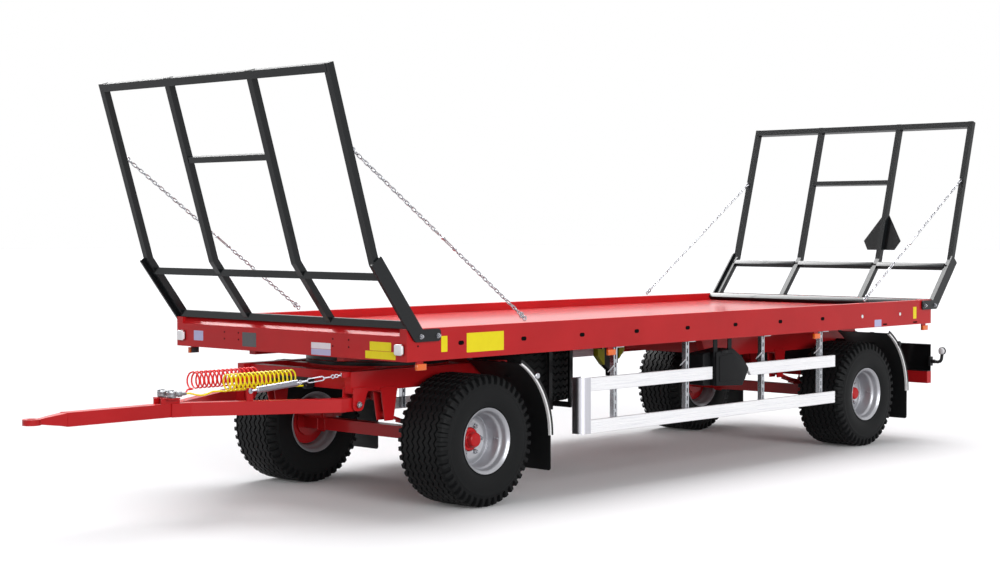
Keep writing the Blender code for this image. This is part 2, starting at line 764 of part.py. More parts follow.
def hangers(y, spring_x, top):
    """Cheeks on each side of the four spring eyes, up to the rail they hang from."""
    inner = SPRING_WIDTH / 2 + GAP
    outer = inner + HANGER_WALL
    pieces = []
    for side in (1, -1):
        for way in (1, -1):
            eye_y = y + way * SPRING_HALF
            low_z = eye_height() - 0.040
            pieces.append(block(side * spring_x - outer, side * spring_x + outer, eye_y - 0.078,
                                eye_y + 0.078, top - 0.034, top - 0.002))
            outline = [(eye_y - 0.080, top), (eye_y - 0.040, low_z), (eye_y + 0.040, low_z),
                       (eye_y + 0.080, top)]
            for cheek in (1, -1):
                near = side * spring_x + cheek * inner
                far = side * spring_x + cheek * outer
                pieces.append(prism(outline, "x", *sorted((near, far))))
    return pieces


def mudguard(y, rail_face):
    """Left quarter guard behind a wheel, its rubber flap and the tube that holds it."""
    inner_x = WHEEL_X - GUARD_WIDTH / 2
    outer_x = WHEEL_X + GUARD_WIDTH / 2
    middle = GUARD_RADIUS + GUARD_SHEET / 2
    arc = []
    steps = 9
    for k in range(steps + 1):
        turn = math.radians(GUARD_TOP_ANGLE * (1 - k / steps))
        arc.append((y + middle * math.cos(turn), WHEEL_Z + middle * math.sin(turn)))
    arc.append((y + middle, WHEEL_Z - 0.04))
    sheet = prism(band(arc, GUARD_SHEET), "x", inner_x, outer_x)
    flap_y = y + middle + 0.001
    flap = block(inner_x + 0.01, outer_x - 0.006, flap_y, flap_y + 0.008, FLAP_BOTTOM, WHEEL_Z + 0.02)
    angle = math.radians(GUARD_TUBE_ANGLE)
    tube_y = y + (middle + 0.022) * math.cos(angle)
    tube_z = WHEEL_Z + (middle + 0.022) * math.sin(angle)
    tube = rod((rail_face + GAP, tube_y, tube_z), (outer_x - 0.012, tube_y, tube_z), 0.021)
    return combined([sheet, flap, tube])


# Front bogie
def bogie_frame():
    """Steered frame: rails, cross members, lower ring, spring hangers and clevis plates."""
    low_y, high_y = AXLE_FRONT - BOGIE_FRONT, AXLE_FRONT + BOGIE_REAR
    pieces, pin_holes = [], []
    for side in (1, -1):
        low, high = sorted((side * (BOGIE_RAIL_X - BOGIE_RAIL_WIDTH / 2),
                            side * (BOGIE_RAIL_X + BOGIE_RAIL_WIDTH / 2)))
        pieces.append(block(low, high, low_y, high_y, BOGIE_RAIL_BOTTOM, BOGIE_RAIL_TOP))
        cap_low = BOGIE_RAIL_BOTTOM - 0.010
        pieces.append(block(side * BOGIE_RAIL_X - 0.057, side * BOGIE_RAIL_X + 0.057, low_y + 0.006,
                            CLEVIS_Y + 0.095, cap_low, BOGIE_RAIL_BOTTOM + 0.028))
        pin_holes.append(prism(circle(CLEVIS_Y, CLEVIS_Z, PIN_RADIUS + PIN_PLAY, 16), "x",
                               side * BOGIE_RAIL_X - 0.10, side * BOGIE_RAIL_X + 0.10))
        for cheek in (-0.058, 0.048):
            near = side * BOGIE_RAIL_X + cheek
            outline = rounded([(low_y + 0.004, BOGIE_RAIL_BOTTOM + 0.03, 0),
                               (CLEVIS_Y - 0.045, CLEVIS_Z - 0.045, 0.035),
                               (CLEVIS_Y + 0.045, CLEVIS_Z - 0.045, 0.035),
                               (CLEVIS_Y + 0.100, BOGIE_RAIL_BOTTOM + 0.03, 0)], 3)
            pieces.append(prism(outline, "x", near, near + 0.010))
    lug_x = SPRING_RAIL[0] + SPRING_EYE_HALF + GAP
    pieces.append(block(lug_x, lug_x + 0.010, SPRING_RAIL[1] - 0.016, low_y + 0.010,
                        SPRING_RAIL[2] - 0.018, SPRING_RAIL[2] + 0.018))
    for y in CROSS_MEMBERS:
        pieces.append(block(-BOGIE_RAIL_X, BOGIE_RAIL_X, y - 0.04, y + 0.04,
                            BOGIE_RAIL_BOTTOM + 0.01, BOGIE_RAIL_TOP - 0.006))
    ring = turned([(BOGIE_RAIL_TOP - 0.012, RING_RADIUS), (BOGIE_RAIL_TOP - 0.012, RING_RADIUS - RING_WIDTH),
                   (RING_SPLIT, RING_RADIUS - RING_WIDTH), (RING_SPLIT, RING_RADIUS)],
                  "z", (0, AXLE_FRONT, 0), RING_SEGMENTS)
    pieces.append(ring)
    pieces += hangers(AXLE_FRONT, BOGIE_RAIL_X, BOGIE_RAIL_BOTTOM + 0.02)
    return combined(pieces, pin_holes)


def line_filters():
    """Two filters of the brake lines on the front face of the first cross member."""
    back = CROSS_MEMBERS[0] - 0.04 - GAP
    low, high = min(COIL_X), max(COIL_X)
    pieces = [block(low - 0.035, high + 0.035, back - 0.006, back, min(COIL_Z) - 0.030, max(COIL_Z) + 0.030)]
    for x, z in zip(COIL_X, COIL_Z):
        profile = [(FILTER_FRONT, 0), (FILTER_FRONT, 0.016), (FILTER_FRONT + 0.014, 0.024),
                   (back - 0.003, 0.024), (back - 0.003, 0)]
        pieces.append(turned(profile, "y", (x, 0, z), 12, closed_ring=False))
    return combined(pieces)


# Drawbar
def drawbar():
    """Nose tube that forks into two arms, with its eye, gusset and coupling bracket."""
    half = DRAWBAR_TUBE / 2
    z0, z1 = CLEVIS_Z - half, CLEVIS_Z + half
    nose = prism([(-0.050, DRAWBAR_FORK - 0.05), (-0.042, DRAWBAR_NOSE), (0.042, DRAWBAR_NOSE),
                  (0.050, DRAWBAR_FORK - 0.05)], "z", z0 + 0.001, z1 - 0.001)
    pieces = [nose]
    for side in (1, -1):
        line = [(side * 0.022, DRAWBAR_FORK - 0.14), (side * 0.060, DRAWBAR_FORK),
                (side * BOGIE_RAIL_X, CLEVIS_Y - 0.12), (side * BOGIE_RAIL_X, CLEVIS_Y + 0.038)]
        pieces.append(prism(band(line, 0.075), "z", z0, z1))
        pieces.append(rod((side * BOGIE_RAIL_X - 0.075, CLEVIS_Y, CLEVIS_Z),
                          (side * BOGIE_RAIL_X + 0.075, CLEVIS_Y, CLEVIS_Z), PIN_RADIUS, 12))
    plate = prism([(-0.25, GUSSET_Y + 0.06), (-0.19, GUSSET_Y - 0.05), (0.19, GUSSET_Y - 0.05),
                   (0.25, GUSSET_Y + 0.06)], "z", z0 + 0.01, z0 + 0.022)
    pieces.append(plate)
    taper = lofted([[(sx * w, y, CLEVIS_Z + sz * t) for sx, sz in ((1, 1), (-1, 1), (-1, -1), (1, -1))]
                    for y, w, t in ((DRAWBAR_NOSE + 0.02, 0.040, 0.044), (EYE_Y + 0.14, 0.032, 0.030),
                                    (EYE_Y + 0.045, 0.022, 0.017))])
    pieces.append(taper)
    pieces.append(prism(circle(0, EYE_Y, EYE_RADIUS, 20), "z", CLEVIS_Z - 0.019, CLEVIS_Z + 0.019))
    eye_hole = prism(circle(0, EYE_Y, EYE_HOLE, 16), "z", CLEVIS_Z - 0.1, CLEVIS_Z + 0.1)
    for leg in (-0.045, 0.035):
        pieces.append(block(leg, leg + 0.010, COUPLING_Y - 0.075, COUPLING_Y + 0.075,
                            z1 - 0.01, z1 + 0.034))
    pieces.append(block(-0.090, 0.090, COUPLING_Y - 0.045, COUPLING_Y + 0.045, z1 + 0.030, z1 + 0.038))
    ear_x = SPRING_ARM[0] - SPRING_EYE_HALF - GAP
    pieces.append(block(ear_x - 0.010, ear_x, SPRING_ARM[1] - 0.025, SPRING_ARM[1] + 0.025,
                        z1 - 0.01, SPRING_ARM[2] + 0.020))
    return combined(pieces, [eye_hole])


def brake_couplings():
    """Two coupling heads parked side by side on the drawbar's bracket."""
    base = CLEVIS_Z + DRAWBAR_TUBE / 2 + 0.038 + GAP
    pieces = [block(-0.085, 0.085, COUPLING_Y - 0.014, COUPLING_Y + 0.014, base, base + 0.010)]
    for x in (-0.052, 0.052):
        head = turned([(0, 0), (0, 0.030), (0.030, 0.033), (0.042, 0.024), (0.042, 0)], "z",
                      (x, COUPLING_Y, base + 0.004), 14, closed_ring=False)
        tail = turned([(0, 0), (0, 0.017), (0.075, 0.015), (0.105, 0.009), (0.105, 0)], "y",
                      (x, COUPLING_Y + 0.015, base + 0.021), 10, closed_ring=False)
        pieces += [head, tail]
    return combined(pieces)


def support_spring():
    """Spring in its tube with the rods, links and hook that hold the drawbar up."""
    start, end = Vector(SPRING_ARM), Vector(SPRING_RAIL)
    along = (end - start).normalized()
    length = (end - start).length
    pieces = [rod(start + along * 0.010, start + along * 0.055, 0.007, 8),
              rod(start + along * 0.045, start + along * 0.325, 0.0225, 14),
              rod(start + along * 0.320, end - along * 0.006, 0.007, 8)]
    for x, y, z in (SPRING_ARM, SPRING_RAIL):
        pieces.append(prism(circle(y, z, 0.018, 12), "x", x - SPRING_EYE_HALF, x + SPRING_EYE_HALF))
    for share in (0.66, 0.80):
        middle = start + along * share * length
        pieces.append(rod(middle - along * 0.022, middle + along * 0.022, 0.014, 8))
    return combined(pieces)


# Loads under the deck
def side_guard():
    """Left side guard: two rails, four posts and the rounded nose."""
    inner = GUARD_RAIL_X - GUARD_RAIL_DEPTH
    lower = (GUARD_LOWER_Z, GUARD_LOWER_Z + GUARD_RAIL_HEIGHT)
    upper = (GUARD_UPPER_Z, GUARD_UPPER_Z + GUARD_RAIL_HEIGHT)
    pieces = []
    for (z0, z1), end in ((lower, GUARD_REAR), (upper, GUARD_BREAK_FRONT)):
        pieces.append(block(inner, GUARD_RAIL_X, GUARD_FRONT - 0.02, end, z0, z1))
    slanted = [(GUARD_BREAK_REAR[0], upper[0]), (GUARD_REAR, upper[0]), (GUARD_REAR, upper[1]),
               (GUARD_BREAK_REAR[1], upper[1])]
    pieces.append(prism(slanted, "x", inner, GUARD_RAIL_X))
    for y in GUARD_POSTS:
        pieces.append(block(inner - GUARD_POST + 0.002, inner + 0.002, y - GUARD_POST / 2, y + GUARD_POST / 2,
                            GUARD_LOWER_Z + 0.01, BOARD_BOTTOM - GAP))
        pieces.append(block(inner - GUARD_POST - 0.01, GUARD_RAIL_X + 0.02, y - 0.045, y + 0.045,
                            BOARD_BOTTOM - 0.012, BOARD_BOTTOM - GAP))
    tip, outer = GUARD_FRONT - GUARD_NOSE, GUARD_RAIL_X + 0.001
    nose = rounded([(inner - 0.075, GUARD_FRONT, 0), (inner - 0.075, tip, 0.02),
                    (outer, tip, 0.085), (outer, GUARD_FRONT, 0)], 4)
    pieces.append(prism(nose, "z", GUARD_LOWER_Z + 0.008, GUARD_UPPER_Z + GUARD_RAIL_HEIGHT + 0.006))
    return combined(pieces)


def toolbox():
    """Moulded tool box with its two hanging straps."""
    corners = [(BOX_FRONT, BOX_BOTTOM + 0.02, 0.02), (BOX_REAR - 0.09, BOX_BOTTOM, 0.02),
               (BOX_REAR, BOX_BOTTOM + 0.13, 0.03), (BOX_REAR - 0.10, BOX_TOP - 0.07, 0.03),
               (BOX_REAR - 0.22, BOX_TOP, 0.03), (BOX_FRONT, BOX_TOP - 0.03, 0.02)]
    pieces = [prism(rounded(corners, 2), "x", BOX_INNER_X, BOX_OUTER_X)]
    step = block(BOX_OUTER_X - BOX_STEP, BOX_OUTER_X + 0.01, BOX_FRONT - 0.01, BOX_STEP_Y,
                 BOX_BOTTOM - 0.01, BOX_TOP + 0.01)
    for y in (BOX_FRONT + 0.07, BOX_REAR - 0.27):
        pieces.append(block(HALF_WIDTH - LOWER_FLANGE + 0.006, HALF_WIDTH - LOWER_FLANGE + 0.014, y, y + 0.05,
                            BOX_TOP - 0.06, BOARD_BOTTOM - GAP))
    return combined(pieces, [step])


def spare_carrier():
    """Cradle of two cross tubes on four hangers under the spare wheel."""
    bottom = SPARE_Z - TYRE_SECTION / 2 - GAP
    pieces = []
    for way in (-0.12, 0.12):
        y = SPARE_Y + way
        pieces.append(block(-RAIL_X - 0.036, RAIL_X + 0.036, y - 0.02, y + 0.02, bottom - 0.040, bottom))
        for side in (1, -1):
            low, high = sorted((side * (RAIL_X + 0.010), side * (RAIL_X + 0.030)))
            pieces.append(block(low, high, y - 0.019, y + 0.019, bottom - 0.03, RAIL_BOTTOM - GAP))
    pieces.append(block(-0.02, 0.02, SPARE_Y - 0.21, SPARE_Y + 0.21, bottom - 0.038, bottom - 0.004))
    return combined(pieces)


def wheel_chocks():
    """Two chocks hung in a bracket on the outside of the left long rail."""
    face = RAIL_X + RAIL_WIDTH / 2 + GAP
    pieces = [block(face, face + 0.008, CHOCK_Y - 0.05, CHOCK_Y + 0.30, 1.00, 1.13),
              block(face, face + 0.150, CHOCK_Y - 0.04, CHOCK_Y - 0.032, 0.90, 1.12)]
    pieces.append(block(face, face + 0.150, CHOCK_Y - 0.04, CHOCK_Y + 0.28, 1.045, 1.053))
    for k in range(2):
        y = CHOCK_Y + k * 0.17
        wedge = [(y - 0.035, 1.05), (y - 0.035, 0.99), (y + 0.005, 0.80), (y + 0.040, 0.77),
                 (y + 0.075, 0.80), (y + 0.10, 1.05)]
        pieces.append(prism(wedge, "x", face + 0.012, face + 0.130))
    return combined(pieces)


# Rear end
def rear_subframe():
    """Rails, cross members and spring hangers that carry the rear axle."""
    top = RAIL_BOTTOM - GAP
    pieces = []
    for side in (1, -1):
        low, high = sorted((side * (RAIL_X - RAIL_WIDTH / 2), side * (RAIL_X + RAIL_WIDTH / 2)))
        outline = [(SUBFRAME_FRONT, top), (SUBFRAME_FRONT + 0.10, SUBFRAME_BOTTOM),
                   (SUBFRAME_REAR - 0.20, SUBFRAME_BOTTOM), (SUBFRAME_REAR, top - 0.06), (SUBFRAME_REAR, top)]
        pieces.append(prism(outline, "x", low, high))
    for y in (SUBFRAME_FRONT + 0.15, AXLE_REAR - SPRING_HALF, AXLE_REAR + SPRING_HALF):
        pieces.append(block(-RAIL_X, RAIL_X, y - 0.04, y + 0.04, SUBFRAME_BOTTOM + 0.03, top - 0.02))
    pieces += hangers(AXLE_REAR, RAIL_X, SUBFRAME_BOTTOM + 0.02)
    return combined(pieces)


def rear_bumper():
    """Underrun beam and the two arms that hold it to the long rails' ends."""
    front = BUMPER_FACE - BUMPER_DEPTH
    pieces = [block(-BUMPER_HALF, BUMPER_HALF, front, BUMPER_FACE, BUMPER_BOTTOM, BUMPER_TOP)]
    for side in (1, -1):
        low, high = sorted((side * (RAIL_X - 0.006), side * (RAIL_X + 0.006)))
        outline = [(SUBFRAME_REAR + 0.01, RAIL_BOTTOM - GAP), (front - 0.08, BUMPER_BOTTOM + 0.01),
                   (front + 0.02, BUMPER_BOTTOM + 0.01), (front + 0.02, BUMPER_TOP - 0.01),
                   (front - 0.004, BUMPER_TOP - 0.01), (front - 0.004, BUMPER_TOP + 0.08),
                   (SUBFRAME_REAR + 0.06, RAIL_BOTTOM - GAP)]
        pieces.append(prism(outline, "x", low, high))
    return combined(pieces)


def lamp_board():
    """Black board above the underrun beam with a lamp cluster at each end."""
    back = BUMPER_FACE
    half = LAMP_BOARD_SHEET / 2
    base = BUMPER_TOP + GAP + half
    fold = band([(back - BUMPER_DEPTH + 0.002, base), (back - half - 0.004, base),
                 (back - half - 0.004, LAMP_BOARD_TOP - half),
                 (back - LAMP_BOARD_FLANGE, LAMP_BOARD_TOP - half)], LAMP_BOARD_SHEET)
    pieces = [prism(fold, "x", -BUMPER_HALF, BUMPER_HALF)]
    for side in (1, -1):
        outer = BUMPER_HALF - CLUSTER_INSET
        low, high = sorted((side * outer, side * (outer - CLUSTER_WIDTH)))
        z0 = BUMPER_TOP + CLUSTER_LIFT
        z1 = z0 + CLUSTER_HEIGHT
        outline = rounded([(low, z0, 0.02), (high, z0, 0.02), (high, z1, 0.02), (low, z1, 0.02)], 2)
        pieces.append(prism(outline, "y", back - 0.008, back + 0.042))
    return combined(pieces)


def marker_stalk():
    """Left rubber stalk with its two-sided marker lamp."""
    start = BUMPER_HALF + GAP
    y = BUMPER_FACE - 0.030
    foot_z = BUMPER_TOP + STALK_LIFT
    tip_x, tip_z = BUMPER_HALF + 0.138, foot_z + 0.072
    base = prism(rectangle(y - 0.022, y + 0.022, foot_z - 0.040, foot_z + 0.040), "x", start, start + 0.014)
    arm = [Vector((start + 0.006, y, foot_z + 0.002)), Vector((start + 0.075, y, foot_z - 0.002)),
           Vector((start + 0.118, y, foot_z + 0.010)), Vector((tip_x, y, foot_z + 0.052))]
    pieces = [base]
    sizes = (0.016, 0.013, 0.012, 0.012)
    sections = []
    for k, (point, size) in enumerate(zip(arm, sizes)):
        into = (arm[min(k + 1, 3)] - arm[max(k - 1, 0)]).normalized()
        up = Vector((-into.z, 0, into.x))
        sections.append([point + up * size * math.cos(t) + Vector((0, 1, 0)) * size * math.sin(t)
                         for t in (2 * math.pi * j / 8 for j in range(8))])
    pieces.append(lofted(sections))
    pieces.append(turned([(-0.020, 0), (-0.020, 0.024), (-0.008, MARKER_RADIUS), (0.008, MARKER_RADIUS),
                          (0.020, 0.024), (0.020, 0)], "y", (tip_x, y, tip_z), 14, closed_ring=False))
    return combined(pieces)


# Brake hoses between the coupling heads and the bogie
def coil_solid(index):
    front, rear = COIL_FRONT[index], FILTER_FRONT - GAP
    return turned([(front, 0), (front, COIL_RADIUS), (rear, COIL_RADIUS), (rear, 0)], "y",
                  (COIL_X[index], 0, COIL_Z[index]), 14, closed_ring=False)


def hose_tail(name, points, material, build):
    """Free stretch of a hose as a round tube through its points."""
    curve = bpy.data.curves.new(name, "CURVE")
    curve.dimensions = "3D"
    curve.bevel_depth = HOSE_RADIUS
    curve.bevel_resolution = 2
    curve.use_fill_caps = True
    spline = curve.splines.new("POLY")
    spline.points.add(len(points) - 1)
    pivot = Vector(build.pivots["drawbar"])
    for slot, point in zip(spline.points, points):
        slot.co = (*(Vector(point) - pivot), 1.0)
    curve.materials.append(build.materials[material])
    tail = bpy.data.objects.new(name, curve)
    bpy.context.scene.collection.objects.link(tail)
    tail.parent = build.empties["drawbar"]


def smooth_route(points, steps=3):
    """Points read from a smooth curve through a few route points."""
    route = [Vector(p) for p in points]
    ends = [route[0] * 2 - route[1]] + route + [route[-1] * 2 - route[-2]]
    smooth = []
    for before, here, there, after in zip(ends, ends[1:], ends[2:], ends[3:]):
        for k in range(steps):
            t = k / steps
            smooth.append(0.5 * (2 * here + (there - before) * t
                                 + (2 * before - 5 * here + 4 * there - after) * t * t
                                 + (3 * here - before - 3 * there + after) * t ** 3))
    return smooth + [route[-1]]


def add_hoses(build):
    head_z = CLEVIS_Z + DRAWBAR_TUBE / 2 + 0.038 + GAP + 0.021
    head_y = COUPLING_Y + 0.015 + 0.105 + GAP
    rows = (
        # name, material, head's x, coil's x, coil's z, coil's front
        ("yellow", "yellow_plastic", 0.052, COIL_X[0], COIL_Z[0], COIL_FRONT[0]),
        ("red", "red_plastic", -0.052, COIL_X[1], COIL_Z[1], COIL_FRONT[1]),
    )
    for index, (name, material, head_x, x, z, front) in enumerate(rows):
        build.place(f"{name}_coil", coil_solid(index), material, "drawbar")
        low = z - COIL_RADIUS + 0.012
        gap = front - head_y
        run = HOSE_STRAIGHT
        route = [(head_x, head_y, head_z), (head_x, head_y + run, head_z), (head_x, head_y + 2 * run, head_z),
                 ((x + head_x) / 2, head_y + 0.5 * gap, (head_z + low) / 2),
                 (x, front - GAP - 2 * run, low), (x, front - GAP - run, low), (x, front - GAP, low)]
        hose_tail(f"{name}_tail", smooth_route(route), material, build)


def main():
    clear_scene()
    build = Builder()
    build.carrier("trailer", (0, 0, 0))
    build.carrier("bogie", (0, AXLE_FRONT, RING_SPLIT), "trailer")
    build.carrier("drawbar", (0, CLEVIS_Y, CLEVIS_Z), "bogie")
    build.carrier("spring", SPRING_RAIL, "bogie")

    board = side_board()
    build.place("side_board_right", mirrored(board), "red_paint", "trailer")
    build.place("side_board_left", board, "red_paint", "trailer")
    build.place("front_panel", front_panel(), "red_paint", "trailer")
    build.place("rear_panel", rear_panel(), "red_paint", "trailer")
    build.place("deck_floor", deck_floor(), "red_paint", "trailer")
    build.place("main_frame", main_frame(), "red_paint", "trailer")

    for frame in END_FRAMES:
        build.place(f"end_frame_{frame.end}", end_frame(frame), "dark_grey_paint", "trailer")
        chain = stay_chain(frame)
        build.place(f"stay_chain_{frame.end}_right", mirrored(chain), "zinc", "trailer")
        build.place(f"stay_chain_{frame.end}_left", chain, "zinc", "trailer")
    build.place("slow_triangle", slow_triangle(), "black_plastic", "trailer")

    paired = (
        # name, mesh, material, carrier
        ("side_guard", side_guard(), "aluminium", "trailer"),
        ("mudguard_rear", mudguard(AXLE_REAR, RAIL_X + SPRING_WIDTH / 2 + HANGER_WALL + GAP), "black_plastic",
         "trailer"),
        ("mudguard_front", mudguard(AXLE_FRONT, BOGIE_RAIL_X + BOGIE_RAIL_WIDTH / 2), "black_plastic",
         "bogie"),
        ("marker_stalk", marker_stalk(), "black_plastic", "trailer"),
    )
    for name, mesh, material, carrier in paired:
        build.place(f"{name}_right", mirrored(mesh), material, carrier)
        build.place(f"{name}_left", mesh, material, carrier)

    build.place("toolbox", toolbox(), "black_plastic", "trailer")
    build.place("spare_tyre", tyre((0, SPARE_Y, SPARE_Z), "z"), "tyre_rubber", "trailer")
    spare_rim = turned(rim_profile(-1), "z", (0, SPARE_Y, SPARE_Z), WHEEL_SEGMENTS)
    build.place("spare_rim", spare_rim, "silver_paint", "trailer")
    build.place("spare_carrier", spare_carrier(), "zinc", "trailer")
    build.place("wheel_chocks", wheel_chocks(), "yellow_plastic", "trailer")
    build.place("rear_subframe", rear_subframe(), "red_paint", "trailer")
    build.place("rear_axle", axle_with_springs(AXLE_REAR, RAIL_X), "red_paint", "trailer")
    build.place("rear_bumper", rear_bumper(), "red_paint", "trailer")
    build.place("lamp_board", lamp_board(), "black_plastic", "trailer")

    build.place("bogie_frame", bogie_frame(), "red_paint", "bogie")
    build.place("front_axle", axle_with_springs(AXLE_FRONT, BOGIE_RAIL_X), "red_paint", "bogie")
    build.place("line_filters", line_filters(), "zinc", "bogie")

    build.place("drawbar_frame", drawbar(), "red_paint", "drawbar")
    build.place("brake_couplings", brake_couplings(), "zinc", "drawbar")
    build.place("support_spring", support_spring(), "zinc", "spring")
    add_hoses(build)
    add_wheels(build)


main()
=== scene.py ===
# %% [markdown]
# A flat-deck bale trailer on a white studio floor. The model that was packed from the CAD
# gives the steelwork; this lesson gives it paint, rubber and zinc, and adds what a welder,
# a wheel fitter and an electrician would add afterwards.
# Every y below is measured from the front edge of the deck, as a workshop drawing would do
# it, and one shift at the end brings a piece to its place in the shared frame.

# %% Load the steelwork
import math

import bmesh
import bpy
from mathutils import Matrix, Vector


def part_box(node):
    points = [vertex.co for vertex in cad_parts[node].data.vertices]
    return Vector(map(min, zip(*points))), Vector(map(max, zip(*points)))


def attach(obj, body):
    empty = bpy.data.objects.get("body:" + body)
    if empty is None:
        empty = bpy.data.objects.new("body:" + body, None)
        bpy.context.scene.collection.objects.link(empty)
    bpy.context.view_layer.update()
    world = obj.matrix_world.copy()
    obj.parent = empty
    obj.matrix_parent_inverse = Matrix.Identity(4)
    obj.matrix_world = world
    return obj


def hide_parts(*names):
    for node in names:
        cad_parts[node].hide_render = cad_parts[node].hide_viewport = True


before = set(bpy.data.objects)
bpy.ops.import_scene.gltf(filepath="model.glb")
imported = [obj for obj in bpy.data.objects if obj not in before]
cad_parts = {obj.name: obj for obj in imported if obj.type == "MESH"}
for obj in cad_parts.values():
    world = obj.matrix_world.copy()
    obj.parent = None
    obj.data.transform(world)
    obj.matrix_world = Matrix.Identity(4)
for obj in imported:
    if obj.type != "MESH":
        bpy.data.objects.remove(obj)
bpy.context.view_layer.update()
DECK_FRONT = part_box("side_board_left")[0][1]
SHIFT = Matrix.Translation((0, DECK_FRONT, 0))
SIDES = (("left", 1), ("right", -1))

# %% [markdown]
# The camera comes first, because the hoses are judged by what it sees. It stands low and
# far away with a long lens, so the trailer's long sides stay nearly parallel.

# %% Camera
camera = bpy.data.objects.new("camera", bpy.data.cameras.new("camera"))
bpy.context.scene.collection.objects.link(camera)
camera.location = (9.849, DECK_FRONT - 8.182, 1.964)
camera.rotation_euler = (math.pi / 2 - 0.0305, 0, 0.7588)
camera.data.lens = 65.15
camera.data.sensor_width = 36
bpy.context.scene.camera = camera

# %% [markdown]
# Shapes are made in a few ways only: an outline pushed along an axis, a profile turned
# round an axis, and a round bar that follows points. Each returns a bmesh, so that several
# can be joined before they become one piece.


# %% Helpers for shapes
def linear(code):
    """sRGB hex code to the linear colour that the shader reads."""
    channels = [int(code[k:k + 2], 16) / 255 for k in (1, 3, 5)]
    return [c / 12.92 if c <= 0.04045 else ((c + 0.055) / 1.055) ** 2.4 for c in channels] + [1.0]


def rectangle(u0, u1, v0, v1):
    return [(u0, v0), (u1, v0), (u1, v1), (u0, v1)]


def circle(u, v, radius, steps=16):
    turns = [2 * math.pi * k / steps for k in range(steps)]
    return [(u + radius * math.cos(t), v + radius * math.sin(t)) for t in turns]


def circle_loop(radius, steps=16):
    """Points of a circle across x, for a ring of round bar."""
    return [(0, u, v) for u, v in circle(0, 0, radius, steps)]


def rounded(corners, steps=5):
    """Outline whose corners, given as (u, v, radius), are rounded with arcs."""
    outline = []
    for i, (u, v, radius) in enumerate(corners):
        here = Vector((u, v))
        if radius <= 0:
            outline.append((u, v))
            continue
        back = (Vector(corners[i - 1][:2]) - here).normalized()
        ahead = (Vector(corners[(i + 1) % len(corners)][:2]) - here).normalized()
        half = back.angle(ahead) / 2
        run = radius / math.tan(half)
        centre = here + (back + ahead).normalized() * radius / math.sin(half)
        start = (here + back * run - centre).normalized()
        end = (here + ahead * run - centre).normalized()
        for k in range(steps + 1):
            outline.append(tuple(centre + start.slerp(end, k / steps) * radius))
    return outline


def rounded_box(u0, u1, v0, v1, radius, steps=5):
    return rounded([(u0, v0, radius), (u1, v0, radius), (u1, v1, radius), (u0, v1, radius)], steps)


def band(points, width):
    """Closed outline of a bent strip that follows points with mitred corners."""
    points = [Vector(p) for p in points]
    left, right = [], []
    for i, point in enumerate(points):
        into = (point - points[i - 1]).normalized() if i else None
        out = (points[i + 1] - point).normalized() if i + 1 < len(points) else None
        along = ((into or out) + (out or into)).normalized()
        normal = Vector((-along.y, along.x))
        edge = Vector((-(out or into).y, (out or into).x))
        reach = width / 2 / max(normal.dot(edge), 0.2)
        left.append(tuple(point + normal * reach))
        right.append(tuple(point - normal * reach))
    return left + right[::-1]


def prism(outline, axis, low, high):
    """Outline pushed along an axis: x takes (y, z), y takes (x, z), z takes (x, y)."""
    order = {"x": (2, 0, 1), "y": (0, 2, 1), "z": (0, 1, 2)}[axis]
    bm = bmesh.new()
    rings = [[bm.verts.new([(u, v, depth)[k] for k in order]) for u, v in outline]
             for depth in (low, high)]
    bm.faces.new(rings[0])
    bm.faces.new(rings[1][::-1])
    for k in range(len(outline)):
        after = (k + 1) % len(outline)
        bm.faces.new((rings[0][k], rings[0][after], rings[1][after], rings[1][k]))
    bmesh.ops.recalc_face_normals(bm, faces=bm.faces)
    return bm


def block(x0, x1, y0, y1, z0, z1):
    return prism(rectangle(x0, x1, y0, y1), "z", z0, z1)


def turned(profile, axis="x", centre=(0, 0, 0), segments=48):
    """Profile of (along, radius) turned about an axis through centre. One that starts and
    ends on the axis makes a solid body, any other one is closed into a ring."""
    ways = {"x": ((1, 0, 0), (0, 1, 0), (0, 0, 1)), "y": ((0, 1, 0), (0, 0, 1), (1, 0, 0)),
            "z": ((0, 0, 1), (1, 0, 0), (0, 1, 0))}
    forward, first, second = (Vector(way) for way in ways[axis])
    bm = bmesh.new()
    rings = []
    for along, radius in profile:
        spokes = [first * math.cos(t) + second * math.sin(t)
                  for t in (2 * math.pi * k / segments for k in range(segments if radius else 1))]
        rings.append([bm.verts.new(Vector(centre) + forward * along + s * radius) for s in spokes])
    solid = profile[0][1] == 0 and profile[-1][1] == 0
    pairs = list(zip(rings, rings[1:])) + ([] if solid else [(rings[-1], rings[0])])
    for a, b in pairs:
        for k in range(segments):
            after = (k + 1) % segments
            corners = dict.fromkeys((a[k % len(a)], a[after % len(a)], b[after % len(b)],
                                     b[k % len(b)]))
            if len(corners) > 2:
                bm.faces.new(list(corners))
    bmesh.ops.recalc_face_normals(bm, faces=bm.faces)
    return bm


